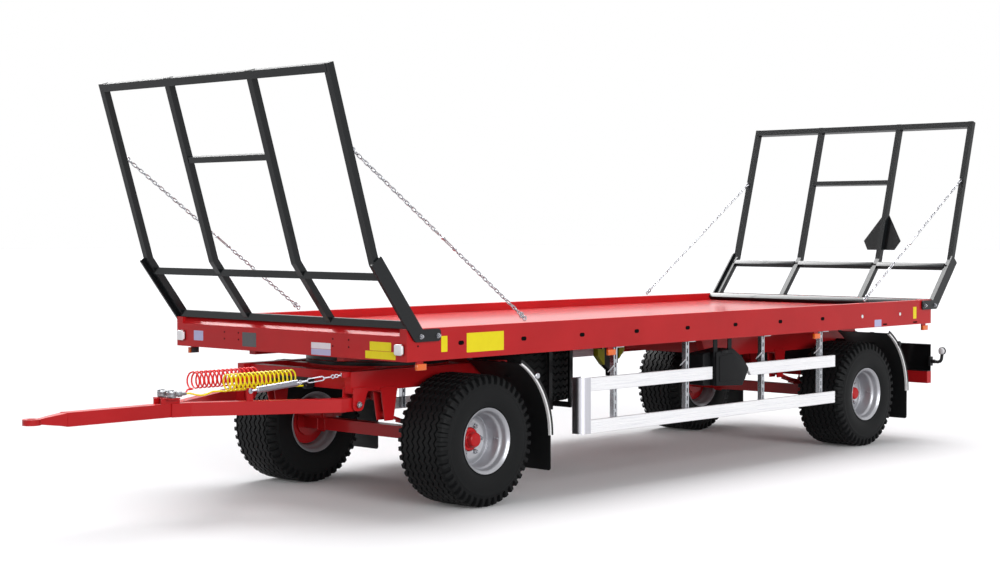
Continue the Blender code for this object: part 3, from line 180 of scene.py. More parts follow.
def bar(points, radius, sides=10, closed=False):
    """Round bar through points, with the same section all the way."""
    points = [Vector(p) for p in points]
    bm = bmesh.new()
    rings = []
    up = Vector((0, 0, 1))
    for i, point in enumerate(points):
        before = points[i - 1] if i or closed else point
        after = points[(i + 1) % len(points)] if i + 1 < len(points) or closed else point
        along = (after - before).normalized()
        if abs(along.dot(up)) > 0.95:
            up = Vector((1, 0, 0)) if abs(along.x) < 0.9 else Vector((0, 1, 0))
        side = along.cross(up).normalized()
        up = side.cross(along).normalized()
        rings.append([bm.verts.new(point + (side * math.cos(t) + up * math.sin(t)) * radius)
                      for t in (2 * math.pi * k / sides for k in range(sides))])
    pairs = list(zip(rings, rings[1:])) + ([(rings[-1], rings[0])] if closed else [])
    for a, b in pairs:
        for k in range(sides):
            bm.faces.new((a[k], a[(k + 1) % sides], b[(k + 1) % sides], b[k]))
    if not closed:
        bm.faces.new(rings[0][::-1])
        bm.faces.new(rings[-1])
    bmesh.ops.recalc_face_normals(bm, faces=bm.faces)
    return bm


def soften(bm, width, segments=2, angle=35):
    """Rounds the edges that turn more than an angle, as a folded or cast edge is."""
    sharp = math.radians(angle)
    edges = [e for e in bm.edges if len(e.link_faces) == 2 and e.calc_face_angle() > sharp]
    bmesh.ops.bevel(bm, geom=edges, offset=width, segments=segments, profile=0.5, affect="EDGES",
                    clamp_overlap=True)
    return bm


def mesh_of(shape):
    """Plain mesh of a bmesh, which is freed; a mesh comes back as it is."""
    if not isinstance(shape, bmesh.types.BMesh):
        return shape
    mesh = bpy.data.meshes.new("shape")
    shape.to_mesh(mesh)
    shape.free()
    return mesh


def joined(*parts):
    """One bmesh with the faces of all the parts, bmeshes or meshes."""
    whole = bmesh.new()
    for part in parts:
        mesh = mesh_of(part)
        whole.from_mesh(mesh)
        bpy.data.meshes.remove(mesh)
    return whole


def mirrored(bm):
    """The same shape on the trailer's other side, with its faces still outwards."""
    other = bm.copy()
    bmesh.ops.transform(other, matrix=Matrix.Scale(-1, 4, (1, 0, 0)), verts=other.verts)
    bmesh.ops.reverse_faces(other, faces=other.faces)
    return other


def on_side(shape, side):
    """The shape itself for the left side, its mirror image for the right one."""
    return shape if side > 0 else mirrored(shape)


def moved(bm, matrix):
    bmesh.ops.transform(bm, matrix=matrix, verts=bm.verts)
    return bm


# %% [markdown]
# Every finished piece goes through one door: it gets its place, its smooth shading, its
# finish and the body it rides on. Most small fittings sit on the platform, so that is
# the body a call gets when it names none.

# %% Helper that hands a piece over
SHARP_ANGLE = 32
piece_count = 0


def hand_over(name, shape, finish, body="platform", stands_for=()):
    """Makes an object of a bmesh or mesh in deck coordinates and ties it to its body."""
    global piece_count
    mesh = mesh_of(shape)
    mesh.transform(SHIFT)
    mesh.name = name
    mesh.materials.clear()
    mesh.materials.append(finish)
    mesh.shade_smooth()
    mesh.set_sharp_from_angle(angle=math.radians(SHARP_ANGLE))
    piece = bpy.data.objects.new(name, mesh)
    bpy.context.scene.collection.objects.link(piece)
    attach(piece, body)
    if stands_for:
        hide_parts(*stands_for)
    piece_count += 1


# %% [markdown]
# A node tree is quicker to read when each node is one line. This helper adds a node, sets
# its settings and joins its inputs, for shaders and for Geometry Nodes alike.


# %% Helper that adds a node
def add(tree, kind, inputs=None, **settings):
    """New node whose inputs, by name or number, take a value or another node's socket."""
    node = tree.nodes.new(kind)
    for key, value in settings.items():
        setattr(node, key, value)
    for key, value in (inputs or {}).items():
        if isinstance(value, bpy.types.NodeSocket):
            tree.links.new(value, node.inputs[key])
        else:
            node.inputs[key].default_value = value
    return node


def new_finish(name, sockets):
    """Material with its shader's own sockets set, and the tree and shader to build on."""
    material = bpy.data.materials.new(name)
    material.use_nodes = True
    shader = material.node_tree.nodes["Principled BSDF"]
    for key, value in sockets.items():
        shader.inputs[key].default_value = value
    return material, material.node_tree, shader


def two_shades(tree, shader, mix, shade_dark, shade):
    """Joins two near shades, mixed by a socket, to the shader's base colour."""
    colour = add(tree, "ShaderNodeMix", {0: mix, 6: linear(shade_dark), 7: linear(shade)},
                 data_type="RGBA")
    tree.links.new(colour.outputs[2], shader.inputs["Base Color"])


# %% [markdown]
# Paint on sheet steel is sprayed: a smooth film with a faint orange peel, a few millimetres
# across, and edges that the film rounds off. Powder coat is the same idea with a finer
# grain. Two near shades, mixed by a slow noise, keep a big flat board from looking like a
# single flat colour.


# %% Paints
EDGE_RADIUS = 0.0025


def paint(name, shade, shade_dark, roughness, coat, grain_mm, depth, metallic=0.0):
    material, tree, shader = new_finish(name, {
        "Roughness": roughness, "Specular IOR Level": 0.1, "Coat Weight": coat,
        "Coat Roughness": 0.10, "Metallic": metallic})
    where = add(tree, "ShaderNodeTexCoord").outputs["Object"]
    cloud = add(tree, "ShaderNodeTexNoise", {"Vector": where, "Scale": 2.2, "Detail": 4.0})
    spread = add(tree, "ShaderNodeMapRange", {"Value": cloud.outputs["Fac"], "From Min": 0.35,
                                              "From Max": 0.65})
    two_shades(tree, shader, spread.outputs["Result"], shade_dark, shade)
    grain = add(tree, "ShaderNodeTexNoise",
                {"Vector": where, "Scale": 1000 / grain_mm, "Detail": 2.0})
    round_edge = add(tree, "ShaderNodeBevel", {"Radius": EDGE_RADIUS}, samples=4)
    bump = add(tree, "ShaderNodeBump", {"Height": grain.outputs["Fac"], "Distance": depth,
                                        "Strength": 0.6, "Normal": round_edge.outputs["Normal"]})
    tree.links.new(bump.outputs["Normal"], shader.inputs["Normal"])
    return material


red_enamel = paint("red_enamel", "#BA1C20", "#B0181C", 0.36, 0.20, 6.0, 0.0002)
deck_enamel = paint("deck_enamel", "#B71D20", "#AD181C", 0.36, 0.50, 6.0, 0.0002)
grey_powder_coat = paint("grey_powder_coat", "#15181A", "#111315", 0.34, 0.30, 2.5, 0.0002)
glossy_powder_coat = paint("glossy_powder_coat", "#1B1E21", "#16191B", 0.34, 0.36, 2.5, 0.0002)
black_enamel = paint("black_enamel", "#131416", "#0E0F11", 0.42, 0.20, 4.0, 0.0002)
silver_wheel_paint = paint("silver_wheel_paint", "#B2B3B8", "#A8A9AE", 0.30, 0.25, 3.0, 0.0001,
                           0.50)

# %% [markdown]
# Zinc-plated and galvanised parts are metal through and through. Hot-dip galvanising leaves
# crystals a centimetre or so across, called spangle, which Voronoi cells draw well.


# %% Zinc, galvanising and cast metal
def bare_metal(name, shade, shade_dark, roughness, cell_mm, metallic=1.0):
    material, tree, shader = new_finish(name, {"Metallic": metallic})
    where = add(tree, "ShaderNodeTexCoord").outputs["Object"]
    cells = add(tree, "ShaderNodeTexVoronoi", {"Vector": where, "Scale": 1000 / cell_mm})
    two_shades(tree, shader, cells.outputs["Distance"], shade_dark, shade)
    smear = add(tree, "ShaderNodeTexNoise",
                {"Vector": where, "Scale": 3000 / cell_mm, "Detail": 3.0})
    dull = add(tree, "ShaderNodeMapRange",
               {"Value": smear.outputs["Fac"], "To Min": roughness - 0.08,
                "To Max": roughness + 0.08})
    tree.links.new(dull.outputs["Result"], shader.inputs["Roughness"])
    return material


zinc_plate = bare_metal("zinc_plate", "#B4B5B9", "#8E9095", 0.24, 3.0)
galvanised_steel = bare_metal("galvanised_steel", "#BBBDC1", "#9A9DA2", 0.22, 12.0)
cast_alloy = bare_metal("cast_alloy", "#8E9094", "#7C7E82", 0.48, 4.0, 0.7)
spring_zinc = bare_metal("spring_zinc", "#B0B0B8", "#9A9AA2", 0.28, 3.0, 0.8)

# %% [markdown]
# The guard rails are extruded aluminium with a milled finish. The die leaves fine bright and
# dull lines along the rail, so its noise is stretched far in Y, the rail's length. The nose
# is a rolled sheet, with its lines upright.


# %% Aluminium
def drawn_aluminium(name, shade, shade_dark, stretch, metallic):
    material, tree, shader = new_finish(name, {"Metallic": metallic})
    where = add(tree, "ShaderNodeTexCoord").outputs["Object"]
    drawn = add(tree, "ShaderNodeMapping", {"Vector": where, "Scale": stretch})
    lines = add(tree, "ShaderNodeTexNoise", {"Vector": drawn.outputs["Vector"], "Scale": 1.0,
                                             "Detail": 5.0, "Roughness": 0.65})
    spread = add(tree, "ShaderNodeMapRange", {"Value": lines.outputs["Fac"], "From Min": 0.34,
                                              "From Max": 0.48})
    two_shades(tree, shader, spread.outputs["Result"], shade_dark, shade)
    dull = add(tree, "ShaderNodeMapRange", {"Value": lines.outputs["Fac"], "To Min": 0.24,
                                            "To Max": 0.44})
    tree.links.new(dull.outputs["Result"], shader.inputs["Roughness"])
    return material


rail_aluminium = drawn_aluminium("rail_aluminium", "#FDFDFF", "#DCDDE6", (60, 1.6, 260), 0.10)
nose_aluminium = drawn_aluminium("nose_aluminium", "#C4C4CA", "#BBBBC1", (60, 60, 1.0), 1.0)

# %% [markdown]
# Rubber and moulded plastics are not metals. Tyre rubber is dull and slightly uneven from
# its mould; polypropylene guards have a fine leathery grain; nylon hose and lamp lenses are
# smooth and glossy.


# %% Rubber and plastics
def moulded(name, shade, shade_dark, roughness, grain_mm, depth, sockets=None):
    material, tree, shader = new_finish(name, {"Roughness": roughness, "Specular IOR Level": 0.3,
                                               **(sockets or {})})
    where = add(tree, "ShaderNodeTexCoord").outputs["Object"]
    grain = add(tree, "ShaderNodeTexNoise",
                {"Vector": where, "Scale": 1000 / grain_mm, "Detail": 3.0})
    two_shades(tree, shader, grain.outputs["Fac"], shade_dark, shade)
    bump = add(tree, "ShaderNodeBump", {"Height": grain.outputs["Fac"], "Distance": depth,
                                        "Strength": 0.5})
    tree.links.new(bump.outputs["Normal"], shader.inputs["Normal"])
    return material


tyre_rubber = moulded("tyre_rubber", "#161718", "#0E0F10", 0.58, 5.0, 0.0004,
                      {"Specular IOR Level": 0.12})
black_polypropylene = moulded("black_polypropylene", "#101113", "#0A0B0C", 0.50, 2.0, 0.0002)
box_polyethylene = moulded("box_polyethylene", "#101113", "#0B0C0E", 0.55, 3.0, 0.0003,
                           {"Specular IOR Level": 0.15})
yellow_nylon = moulded("yellow_nylon", "#FBEA18", "#F0DC12", 0.28, 30.0, 0.0)
red_nylon = moulded("red_nylon", "#EE2426", "#E01E20", 0.28, 30.0, 0.0)
# The chocks' yellow is darkened to olive: painted shade for the shadow they hang in under the deck.
chock_yellow = moulded("chock_yellow", "#8F8A10", "#7A760C", 0.42, 4.0, 0.0002)
# Near-black, dull and almost without gloss: painted shade that fills slots and holes.
plug_rubber = moulded("plug_rubber", "#060607", "#040405", 0.80, 6.0, 0.0,
                      {"Specular IOR Level": 0.05})
white_rubber = moulded("white_rubber", "#F8F8F8", "#EFEFEF", 0.45, 6.0, 0.0)
amber_lens = moulded("amber_lens", "#F0701A", "#E2620F", 0.18, 9.0, 0.0, {"Coat Weight": 0.5})
red_lens = moulded("red_lens", "#C01318", "#A80E12", 0.16, 9.0, 0.0, {"Coat Weight": 0.5})
white_lens = moulded("white_lens", "#F6F6F8", "#ECECF0", 0.14, 9.0, 0.0, {"Coat Weight": 0.5})
yellow_film = moulded("yellow_film", "#F0DE18", "#E8D510", 0.40, 40.0, 0.0)
white_film = moulded("white_film", "#E9E4EC", "#DED8E4", 0.40, 40.0, 0.0)
lilac_film = moulded("lilac_film", "#BDBCE0", "#B1B0D6", 0.40, 40.0, 0.0)
grey_film = moulded("grey_film", "#55565A", "#4B4C50", 0.45, 40.0, 0.0)
print("finishes:", len(bpy.data.materials))

# %% [markdown]
# The steelwork of the frame keeps its shape and takes its paint here.

# %% Paint the CAD nodes that stay
NODE_PAINT = (
    # finish, nodes
    (red_enamel, ("side_board_left", "side_board_right", "front_panel", "rear_panel",
                  "main_frame", "rear_subframe", "rear_bumper", "bogie_frame", "drawbar_frame",
                  "front_axle", "rear_axle")),
    (deck_enamel, ("deck_floor",)),
    (grey_powder_coat, ("end_frame_front", "end_frame_rear")),
    (black_enamel, ("lamp_board", "slow_triangle", "spare_carrier")),
)
for finish, nodes in NODE_PAINT:
    for node in nodes:
        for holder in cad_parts[node].material_slots:
            holder.material = finish

# %% [markdown]
# Two coiled brake hoses run from the parked coupling heads to the bogie. Each is one length
# of nylon tube: out of the head, along the drawbar with a little sag, into the coil by a
# quarter bend, and out of the last turn into the line filter. The red coil is shorter than
# the CAD's and ends in a straight run, as the photograph shows.

# %% Brake hoses
HOSE_RADIUS = 0.006
COIL_CENTRE_RADIUS = 0.0565
HOSE_BEND = 0.048
HOSE_SAG = 0.018
HEAD_Y, HEAD_Z = -0.8897, 0.8493
COIL_REAR = 0.0447
POINTS_PER_TURN = 16
HOSES = (
    # name, finish, turn's way, head's x, coil's x, coil's z, coil's front and rear, turns
    ("yellow", yellow_nylon, 1, 0.052, 0.100, 0.905, -0.600, -0.0033, 16),
    ("red", red_nylon, -1, -0.052, -0.150, 0.915, -0.697, -0.1450, 15),
)


def smooth_route(points, steps=4):
    """Points read from a smooth curve through a few route points."""
    route = [Vector(p) for p in points]
    ends = [route[0] * 2 - route[1]] + route + [route[-1] * 2 - route[-2]]
    smooth = []
    for before, here, there, after in zip(ends, ends[1:], ends[2:], ends[3:]):
        for k in range(steps):
            t = k / steps
            smooth.append(0.5 * (2 * here + (there - before) * t
                                 + (2 * before - 5 * here + 4 * there - after) * t * t
                                 + (3 * here - before - 3 * there + after) * t ** 3))
    return smooth + [route[-1]]


def hose_route(way, head_x, x, z, front, rear, turns):
    low = z - COIL_CENTRE_RADIUS
    inlet_x = x - way * HOSE_BEND
    lead_y = front - HOSE_BEND
    span = lead_y - HEAD_Y
    lead = [(head_x, HEAD_Y, HEAD_Z), (head_x, HEAD_Y + 0.14 * span, HEAD_Z - 0.001),
            (head_x + 0.25 * (inlet_x - head_x), HEAD_Y + 0.36 * span, HEAD_Z - 0.8 * HOSE_SAG),
            (head_x + 0.70 * (inlet_x - head_x), HEAD_Y + 0.62 * span, min(HEAD_Z, low) - HOSE_SAG),
            (inlet_x, HEAD_Y + 0.88 * span, low - 0.001), (inlet_x, lead_y, low)]
    points = smooth_route(lead, 4)
    points += [Vector((x - way * HOSE_BEND * math.cos(t), lead_y + HOSE_BEND * math.sin(t), low))
               for t in (math.pi / 2 * k / 6 for k in range(1, 6))]
    steps = turns * POINTS_PER_TURN
    for k in range(steps + 1):
        turn = 2 * math.pi * k / POINTS_PER_TURN - math.pi / 2
        points.append(Vector((x + way * COIL_CENTRE_RADIUS * math.cos(turn),
                              front + (rear - front) * k / steps,
                              z + COIL_CENTRE_RADIUS * math.sin(turn))))
    points += [Vector((x + way * HOSE_BEND * math.sin(t), rear + HOSE_BEND * (1 - math.cos(t)),
                       low))
               for t in (math.pi / 2 * k / 6 for k in range(1, 7))]
    run = COIL_REAR - points[-1].y
    if run > HOSE_RADIUS:
        points += [points[-1] + Vector((0, run * k / 4, 0)) for k in range(1, 5)]
    return [SHIFT @ p for p in points]


for name, finish, way, head_x, coil_x, coil_z, front, rear, turns in HOSES:
    route = hose_route(way, head_x, coil_x, coil_z, front, rear, turns)
    curve = bpy.data.curves.new(f"{name}_hose", "CURVE")
    curve.dimensions = "3D"
    curve.bevel_depth = HOSE_RADIUS
    curve.bevel_resolution = 3
    curve.use_fill_caps = True
    spline = curve.splines.new("POLY")
    spline.points.add(len(route) - 1)
    for slot_point, point in zip(spline.points, route):
        slot_point.co = (*point, 1.0)
    spline.use_smooth = True
    curve.materials.append(finish)
    hose = bpy.data.objects.new(f"{name}_hose", curve)
    bpy.context.scene.collection.objects.link(hose)
    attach(hose, "drawbar")
    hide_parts(f"{name}_coil", f"{name}_tail")

# %% [markdown]
# Two node trees make nearly everything that repeats. The first puts a piece on each point,
# pointing along one direction, and can roll each copy a step further than the last: bolts
# need no roll, chain links a quarter turn. The second spins copies round an axis, which is
# how a tyre mould or a wheel's bolt circle works.


# %% Geometry Nodes trees
def tree_with_inputs(name, inputs):
    tree = bpy.data.node_groups.new(name, "GeometryNodeTree")
    tree.interface.new_socket("Geometry", in_out="OUTPUT", socket_type="NodeSocketGeometry")
    for label, kind in (("Geometry", "NodeSocketGeometry"),) + inputs:
        tree.interface.new_socket(label, in_out="INPUT", socket_type=kind)
    return tree, add(tree, "NodeGroupInput").outputs


points_tree, given = tree_with_inputs("piece_on_each_point", (
    ("Piece", "NodeSocketObject"), ("Along", "NodeSocketVector"), ("Roll step", "NodeSocketFloat"),
    ("Finish", "NodeSocketMaterial")))
source = add(points_tree, "GeometryNodeObjectInfo", {"Object": given["Piece"]})
aimed = add(points_tree, "FunctionNodeAlignRotationToVector", {"Vector": given["Along"]}, axis="Z")
number = add(points_tree, "GeometryNodeInputIndex")
roll = add(points_tree, "ShaderNodeMath", {0: number.outputs[0], 1: given["Roll step"]},
           operation="MULTIPLY")
twist = add(points_tree, "FunctionNodeAxisAngleToRotation",
            {"Axis": (0, 0, 1), "Angle": roll.outputs[0]})
rolled = add(points_tree, "FunctionNodeRotateRotation", {"Rotation": aimed.outputs[0],
                                                         "Rotate By": twist.outputs[0]},
             rotation_space="LOCAL")
copies = add(points_tree, "GeometryNodeInstanceOnPoints", {
    "Points": given["Geometry"], "Instance": source.outputs["Geometry"],
    "Rotation": rolled.outputs[0]})
real = add(points_tree, "GeometryNodeRealizeInstances", {"Geometry": copies.outputs[0]})
coated = add(points_tree, "GeometryNodeSetMaterial", {"Geometry": real.outputs[0],
                                                      "Material": given["Finish"]})
add(points_tree, "NodeGroupOutput", {"Geometry": coated.outputs[0]})

spin_tree, given = tree_with_inputs("copies_round_an_axis", (
    ("Piece", "NodeSocketObject"), ("Count", "NodeSocketInt"), ("Axis", "NodeSocketVector"),
    ("Merge distance", "NodeSocketFloat"), ("Finish", "NodeSocketMaterial")))
source = add(spin_tree, "GeometryNodeObjectInfo", {"Object": given["Piece"]})
dots = add(spin_tree, "GeometryNodePoints", {"Count": given["Count"]})
number = add(spin_tree, "GeometryNodeInputIndex")
share = add(spin_tree, "ShaderNodeMath", {0: number.outputs[0], 1: given["Count"]},
            operation="DIVIDE")
angle = add(spin_tree, "ShaderNodeMath", {0: share.outputs[0], 1: 2 * math.pi},
            operation="MULTIPLY")
turn = add(spin_tree, "FunctionNodeAxisAngleToRotation", {"Axis": given["Axis"],
                                                          "Angle": angle.outputs[0]})
copies = add(spin_tree, "GeometryNodeInstanceOnPoints", {
    "Points": dots.outputs[0], "Instance": source.outputs["Geometry"], "Rotation": turn.outputs[0]})
real = add(spin_tree, "GeometryNodeRealizeInstances", {"Geometry": copies.outputs[0]})
sewn = add(spin_tree, "GeometryNodeMergeByDistance", {"Geometry": real.outputs[0],
                                                      "Distance": given["Merge distance"]})
coated = add(spin_tree, "GeometryNodeSetMaterial", {"Geometry": sewn.outputs[0],
                                                    "Material": given["Finish"]})
add(spin_tree, "NodeGroupOutput", {"Geometry": coated.outputs[0]})


def grown(tree, shape, finish, points=(), **inputs):
    """Runs a tree on a shape and returns the result as a plain mesh."""
    base = bpy.data.meshes.new("points")
    base.from_pydata([tuple(p) for p in points], [], [])
    carrier = bpy.data.objects.new("carrier", base)
    piece = bpy.data.objects.new("source", mesh_of(shape))
    for helper in (carrier, piece):
        bpy.context.scene.collection.objects.link(helper)
    step = carrier.modifiers.new("grow", "NODES")
    step.node_group = tree
    values = {"Piece": piece, "Finish": finish,
              **{k.replace("_", " "): v for k, v in inputs.items()}}
    for socket in tree.interface.items_tree:
        if socket.in_out == "INPUT" and socket.name in values:
            step[socket.identifier] = values[socket.name]
    view = bpy.context.evaluated_depsgraph_get()
    result = bpy.data.meshes.new_from_object(carrier.evaluated_get(view))
    for helper in (carrier, piece):
        bpy.data.objects.remove(helper, do_unlink=True)
    return result


def on_points(shape, finish, points, along, roll_step=0.0):
    return grown(points_tree, shape, finish, points, Along=along, Roll_step=roll_step)


def spun(shape, finish, count, axis=(1, 0, 0), merge=0.0):
    return grown(spin_tree, shape, finish, Count=count, Axis=axis, Merge_distance=merge)


# %% [markdown]
# A wide implement tyre. Its tread is a row of zigzag ribs with open shoulder lugs, 44 to the
# turn, so one pitch of the mould is modelled and spun 44 times. On a lug the profile stands
# out to the shoulder; between two lugs the same points sink in.

# %% Tyre
TYRE_PITCHES = 44
TREAD_RADIUS = 0.4655
GROOVE_DEPTH = 0.012
ZIGZAG = 0.011
SIDEWALL = ((0.2000, 0.2168), (0.2055, 0.2230), (0.2058, 0.2330), (0.2085, 0.2400),
            (0.2140, 0.2445), (0.2150, 0.2520), (0.2190, 0.2600), (0.2245, 0.2800),
            (0.2285, 0.3060), (0.2298, 0.3330), (0.2290, 0.3560), (0.2272, 0.3740),
            (0.2280, 0.3775), (0.2265, 0.3810), (0.2245, 0.3900), (0.2225, 0.3980))
SHOULDER = (
    # along and radius on a lug, then along and radius between two lugs
    (0.2229, 0.4040, 0.2180, 0.4010), (0.2218, 0.4230, 0.2060, 0.4110),
    (0.2180, 0.4440, 0.1975, 0.4260), (0.2090, 0.4570, 0.1890, 0.4380),
    (0.1960, 0.4615, 0.1790, 0.4460), (0.1800, 0.4630, 0.1745, 0.4625),
)
GROOVES = (0.160, 0.108, 0.054, 0.0)
STATIONS = (
    # share of a pitch, lug or gap, zigzag
    (0.05, 1, 0.2), (0.25, 1, 1.0), (0.45, 1, 0.2), (0.55, 0, -0.2), (0.75, 0, -1.0),
    (0.95, 0, -0.2), (1.05, 1, 0.2),
)


def crown(along):
    """The tread's radius, which falls a little towards the shoulders."""
    return TREAD_RADIUS - 0.065 * along * along


def tyre_half(lug, zigzag):
    """Profile from the bead to the middle groove at one station of the pitch."""
    points = list(SIDEWALL)
    for on_along, on_radius, off_along, off_radius in SHOULDER:
        points.append((on_along, on_radius) if lug else (off_along, off_radius))
    for centre in GROOVES:
        shift = zigzag * ZIGZAG
        walls = ((0.0085, 0), (0.0050, GROOVE_DEPTH), (-0.0050, GROOVE_DEPTH), (-0.0085, 0))
        points += [(centre + shift + off, crown(centre) - depth) for off, depth in walls]
    return points


def tyre_sector():
    rings = []
    bm = bmesh.new()
    for share, lug, zigzag in STATIONS:
        outer = tyre_half(lug, zigzag)
        inner = [(-a, r) for a, r in tyre_half(1 - lug, -zigzag)[:-4]]
        turn = 2 * math.pi * share / TYRE_PITCHES
        rings.append([bm.verts.new((a, r * math.cos(turn), r * math.sin(turn)))
                      for a, r in outer + inner[::-1]])
    for a, b in zip(rings, rings[1:]):
        for k in range(len(a) - 1):
            bm.faces.new((a[k], b[k], b[k + 1], a[k + 1]))
        bm.faces.new((a[-1], b[-1], b[0], a[0]))
    return bm


tyre_mesh = spun(tyre_sector(), tyre_rubber, TYRE_PITCHES, merge=0.00002)
print("tyre:", len(tyre_mesh.polygons), "faces")

# %% [markdown]
# The rim is rolled from sheet: a lip, a bead seat, a well and the disc welded in it. The
# disc sits close to the outer side. Hub and drum are iron castings painted with the axle,
# and the nuts are zinc plated. Each is a turned profile; the nuts are spun on their circle.

# %% Rim, hub and nuts
RIM_OUTER = ((0.0280, 0.0853), (0.0400, 0.0853), (0.0412, 0.0875), (0.0412, 0.1180),
             (0.0450, 0.1260), (0.0462, 0.1330), (0.0462, 0.1480), (0.0420, 0.1590),
             (0.0360, 0.1680), (0.0350, 0.1800), (0.0385, 0.1828), (0.0480, 0.1832),
             (0.1330, 0.1832), (0.1450, 0.1852), (0.1530, 0.1915), (0.1580, 0.1985),
             (0.1660, 0.2025), (0.1900, 0.2052), (0.1990, 0.2085), (0.2050, 0.2150),
             (0.2088, 0.2225), (0.2125, 0.2270), (0.2143, 0.2295), (0.2140, 0.2322),
             (0.2115, 0.2335), (0.2080, 0.2325), (0.2062, 0.2290), (0.2062, 0.2190),
             (0.2040, 0.2163), (0.1700, 0.2120), (0.1580, 0.2060), (0.1500, 0.1950),
             (0.1400, 0.1890), (0.1300, 0.1880))
RIM_BACK = ((0.0240, 0.1832), (0.0240, 0.1720), (0.0290, 0.1620), (0.0330, 0.1500),
            (0.0330, 0.1330), (0.0295, 0.1200), (0.0280, 0.1100))
HUB_PROFILE = ((0.1080, 0), (0.1080, 0.0330), (0.1060, 0.0440), (0.1000, 0.0505), (0.0920, 0.0525),
               (0.0640, 0.0530), (0.0615, 0.0580), (0.0560, 0.0600), (0.0480, 0.0610),
               (0.0465, 0.0650), (0.0465, 0.0760), (0.0440, 0.0800), (0.0277, 0.0845),
               (0.0277, 0.1480), (0.0240, 0.1620), (0.0180, 0.1650), (-0.0700, 0.1650),
               (-0.0720, 0.1690), (-0.0860, 0.1690), (-0.0880, 0.1650), (-0.0960, 0.1650),
               (-0.0980, 0.1720), (-0.1095, 0.1720), (-0.1100, 0.1700), (-0.1100, 0))
NUT_CIRCLE = 0.1025
NUT_COUNT = 6


def rim_shape():
    inner_side = [(-a, r) for a, r in RIM_OUTER[12:][::-1]]
    return turned(list(RIM_OUTER) + inner_side + list(RIM_BACK), segments=96)


def nut_shape(across=0.027, height=0.016, stud=0.009):
    """Hexagon nut on a washer with the stud's end, standing along z."""
    washer = turned([(0, 0), (0, across * 0.72), (0.0028, across * 0.72), (0.0028, 0)], "z",
                    segments=20)
    hexagon = prism(circle(0, 0, across / math.sqrt(3), 6), "z", 0.0028, 0.0028 + height)
    end = turned([(height, 0), (height, stud * 0.9), (height + 0.009, stud * 0.9),
                  (height + 0.011, stud * 0.7), (height + 0.011, 0)], "z", segments=12)
    return joined(washer, soften(hexagon, 0.0012), end)


def valve_shape():
    stem = bar([(0.118, 0.1700, 0), (0.135, 0.1685, 0), (0.158, 0.1640, 0)], 0.0042)
    return joined(stem, turned([(0.118, 0), (0.118, 0.008), (0.124, 0.006), (0.124, 0)], "x",
                               (0, 0.1725, 0), 10))


rim_mesh = mesh_of(joined(rim_shape(), valve_shape()))
hub_mesh = mesh_of(turned(HUB_PROFILE, segments=64))
nut = moved(nut_shape(),
            Matrix.Translation((0.0412, NUT_CIRCLE, 0)) @ Matrix.Rotation(math.pi / 2, 4, "Y"))
nut_mesh = spun(nut, zinc_plate, NUT_COUNT)

# %% [markdown]
# A wheel is made once, looking towards +X. The right-hand wheels are the same wheel turned
# half round, as they are on the trailer, and the spare lies flat under the deck.

# %% Fit the wheels
WHEEL_PARTS = (
    # name, mesh, finish, slot, the CAD node that it stands for
    ("tread", tyre_mesh, tyre_rubber, "tyre_rubber", "tyre"),
    ("dish", rim_mesh, silver_wheel_paint, "silver_paint", "rim"),
    ("drum", hub_mesh, red_enamel, "red_paint", "hub"),
    ("nuts", nut_mesh, zinc_plate, "zinc", None),
)


def centre_of(node):
    low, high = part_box(node)
    return (Vector(low) + Vector(high)) / 2 - Vector((0, DECK_FRONT, 0))


def fit_wheel(piece_name, node_name, body, centre, facing, parts):
    for part, mesh, finish, slot, node in parts:
        copy = mesh.copy()
        copy.transform(Matrix.Translation(centre) @ facing)
        stands_for = (node_name.format(node),) if node else ()
        hand_over(piece_name.format(part), copy, finish, body, stands_for)


for end in ("front", "rear"):
    for label, side in SIDES:
        facing = Matrix.Identity(4) if side > 0 else Matrix.Rotation(math.pi, 4, "Z")
        where = f"{end}_{label}"
        fit_wheel("wheel_{}_" + where, "{}_" + where, f"wheel_{where}", centre_of(f"tyre_{where}"),
                  facing, WHEEL_PARTS)
fit_wheel("spare_{}", "spare_{}", "platform", centre_of("spare_tyre"),
          Matrix.Rotation(math.pi / 2, 4, "Y"), WHEEL_PARTS[:2])

# %% [markdown]
# The end frames are held back by chains. A welded chain link is a bent ring of round bar;
# each link stands a quarter turn from the next, which the roll step of the tree gives. A
# bottle screw near the middle takes up the slack.

# %% Stay chains
LINK_PITCH = 0.036
LINK_WIRE = 0.0040
LINK_HALF_WIDTH = 0.0100
RING_WIRE = 0.0052
END_GAP = 0.012
SCREW_LENGTH = 0.25


def link_shape(pitch, wire, half_width, points=7, sides=7):
    """Closed ring of round bar, long in z."""
    straight = pitch / 2 + wire - half_width
    ring = []
    for end in (1, -1):
        for k in range(points):
            turn = math.pi * k / (points - 1)
            ring.append((end * half_width * math.cos(turn), 0,
                         end * (straight + half_width * math.sin(turn))))
    return bar(ring, wire, sides, closed=True)


def screw_shape(length):
    """Open bottle screw along z with its two rods."""
    half = length / 2
    body_half = half * 0.52
    parts = [bar([(x, 0, -body_half), (x, 0, body_half)], 0.0042, 8) for x in (-0.0105, 0.0105)]
    for end in (1, -1):
        span = sorted((end * (body_half - 0.010), end * (body_half + 0.014)))
        parts.append(soften(prism(rounded_box(-0.016, 0.016, -0.008, 0.008, 0.006, 3), "z", *span),
                            0.0015, angle=60))
        parts.append(bar([(0, 0, end * body_half * 0.55), (0, 0, end * (half - 0.022))], 0.0048))
        parts.append(moved(link_shape(0.020, 0.0042, 0.010),
                           Matrix.Translation((0, 0, end * (half - 0.012)))))
    return joined(*parts)


CHAIN_ENDS = (
    # end, top's (x, y, z), low end's (x, y, z), share of the length where the screw starts
    ("front", (1.225, -0.4485, 2.450), (1.225, 1.165, 1.318), 0.470),
    ("rear", (1.225, 7.2349, 2.395), (1.225, 5.580, 1.318), 0.447),
)


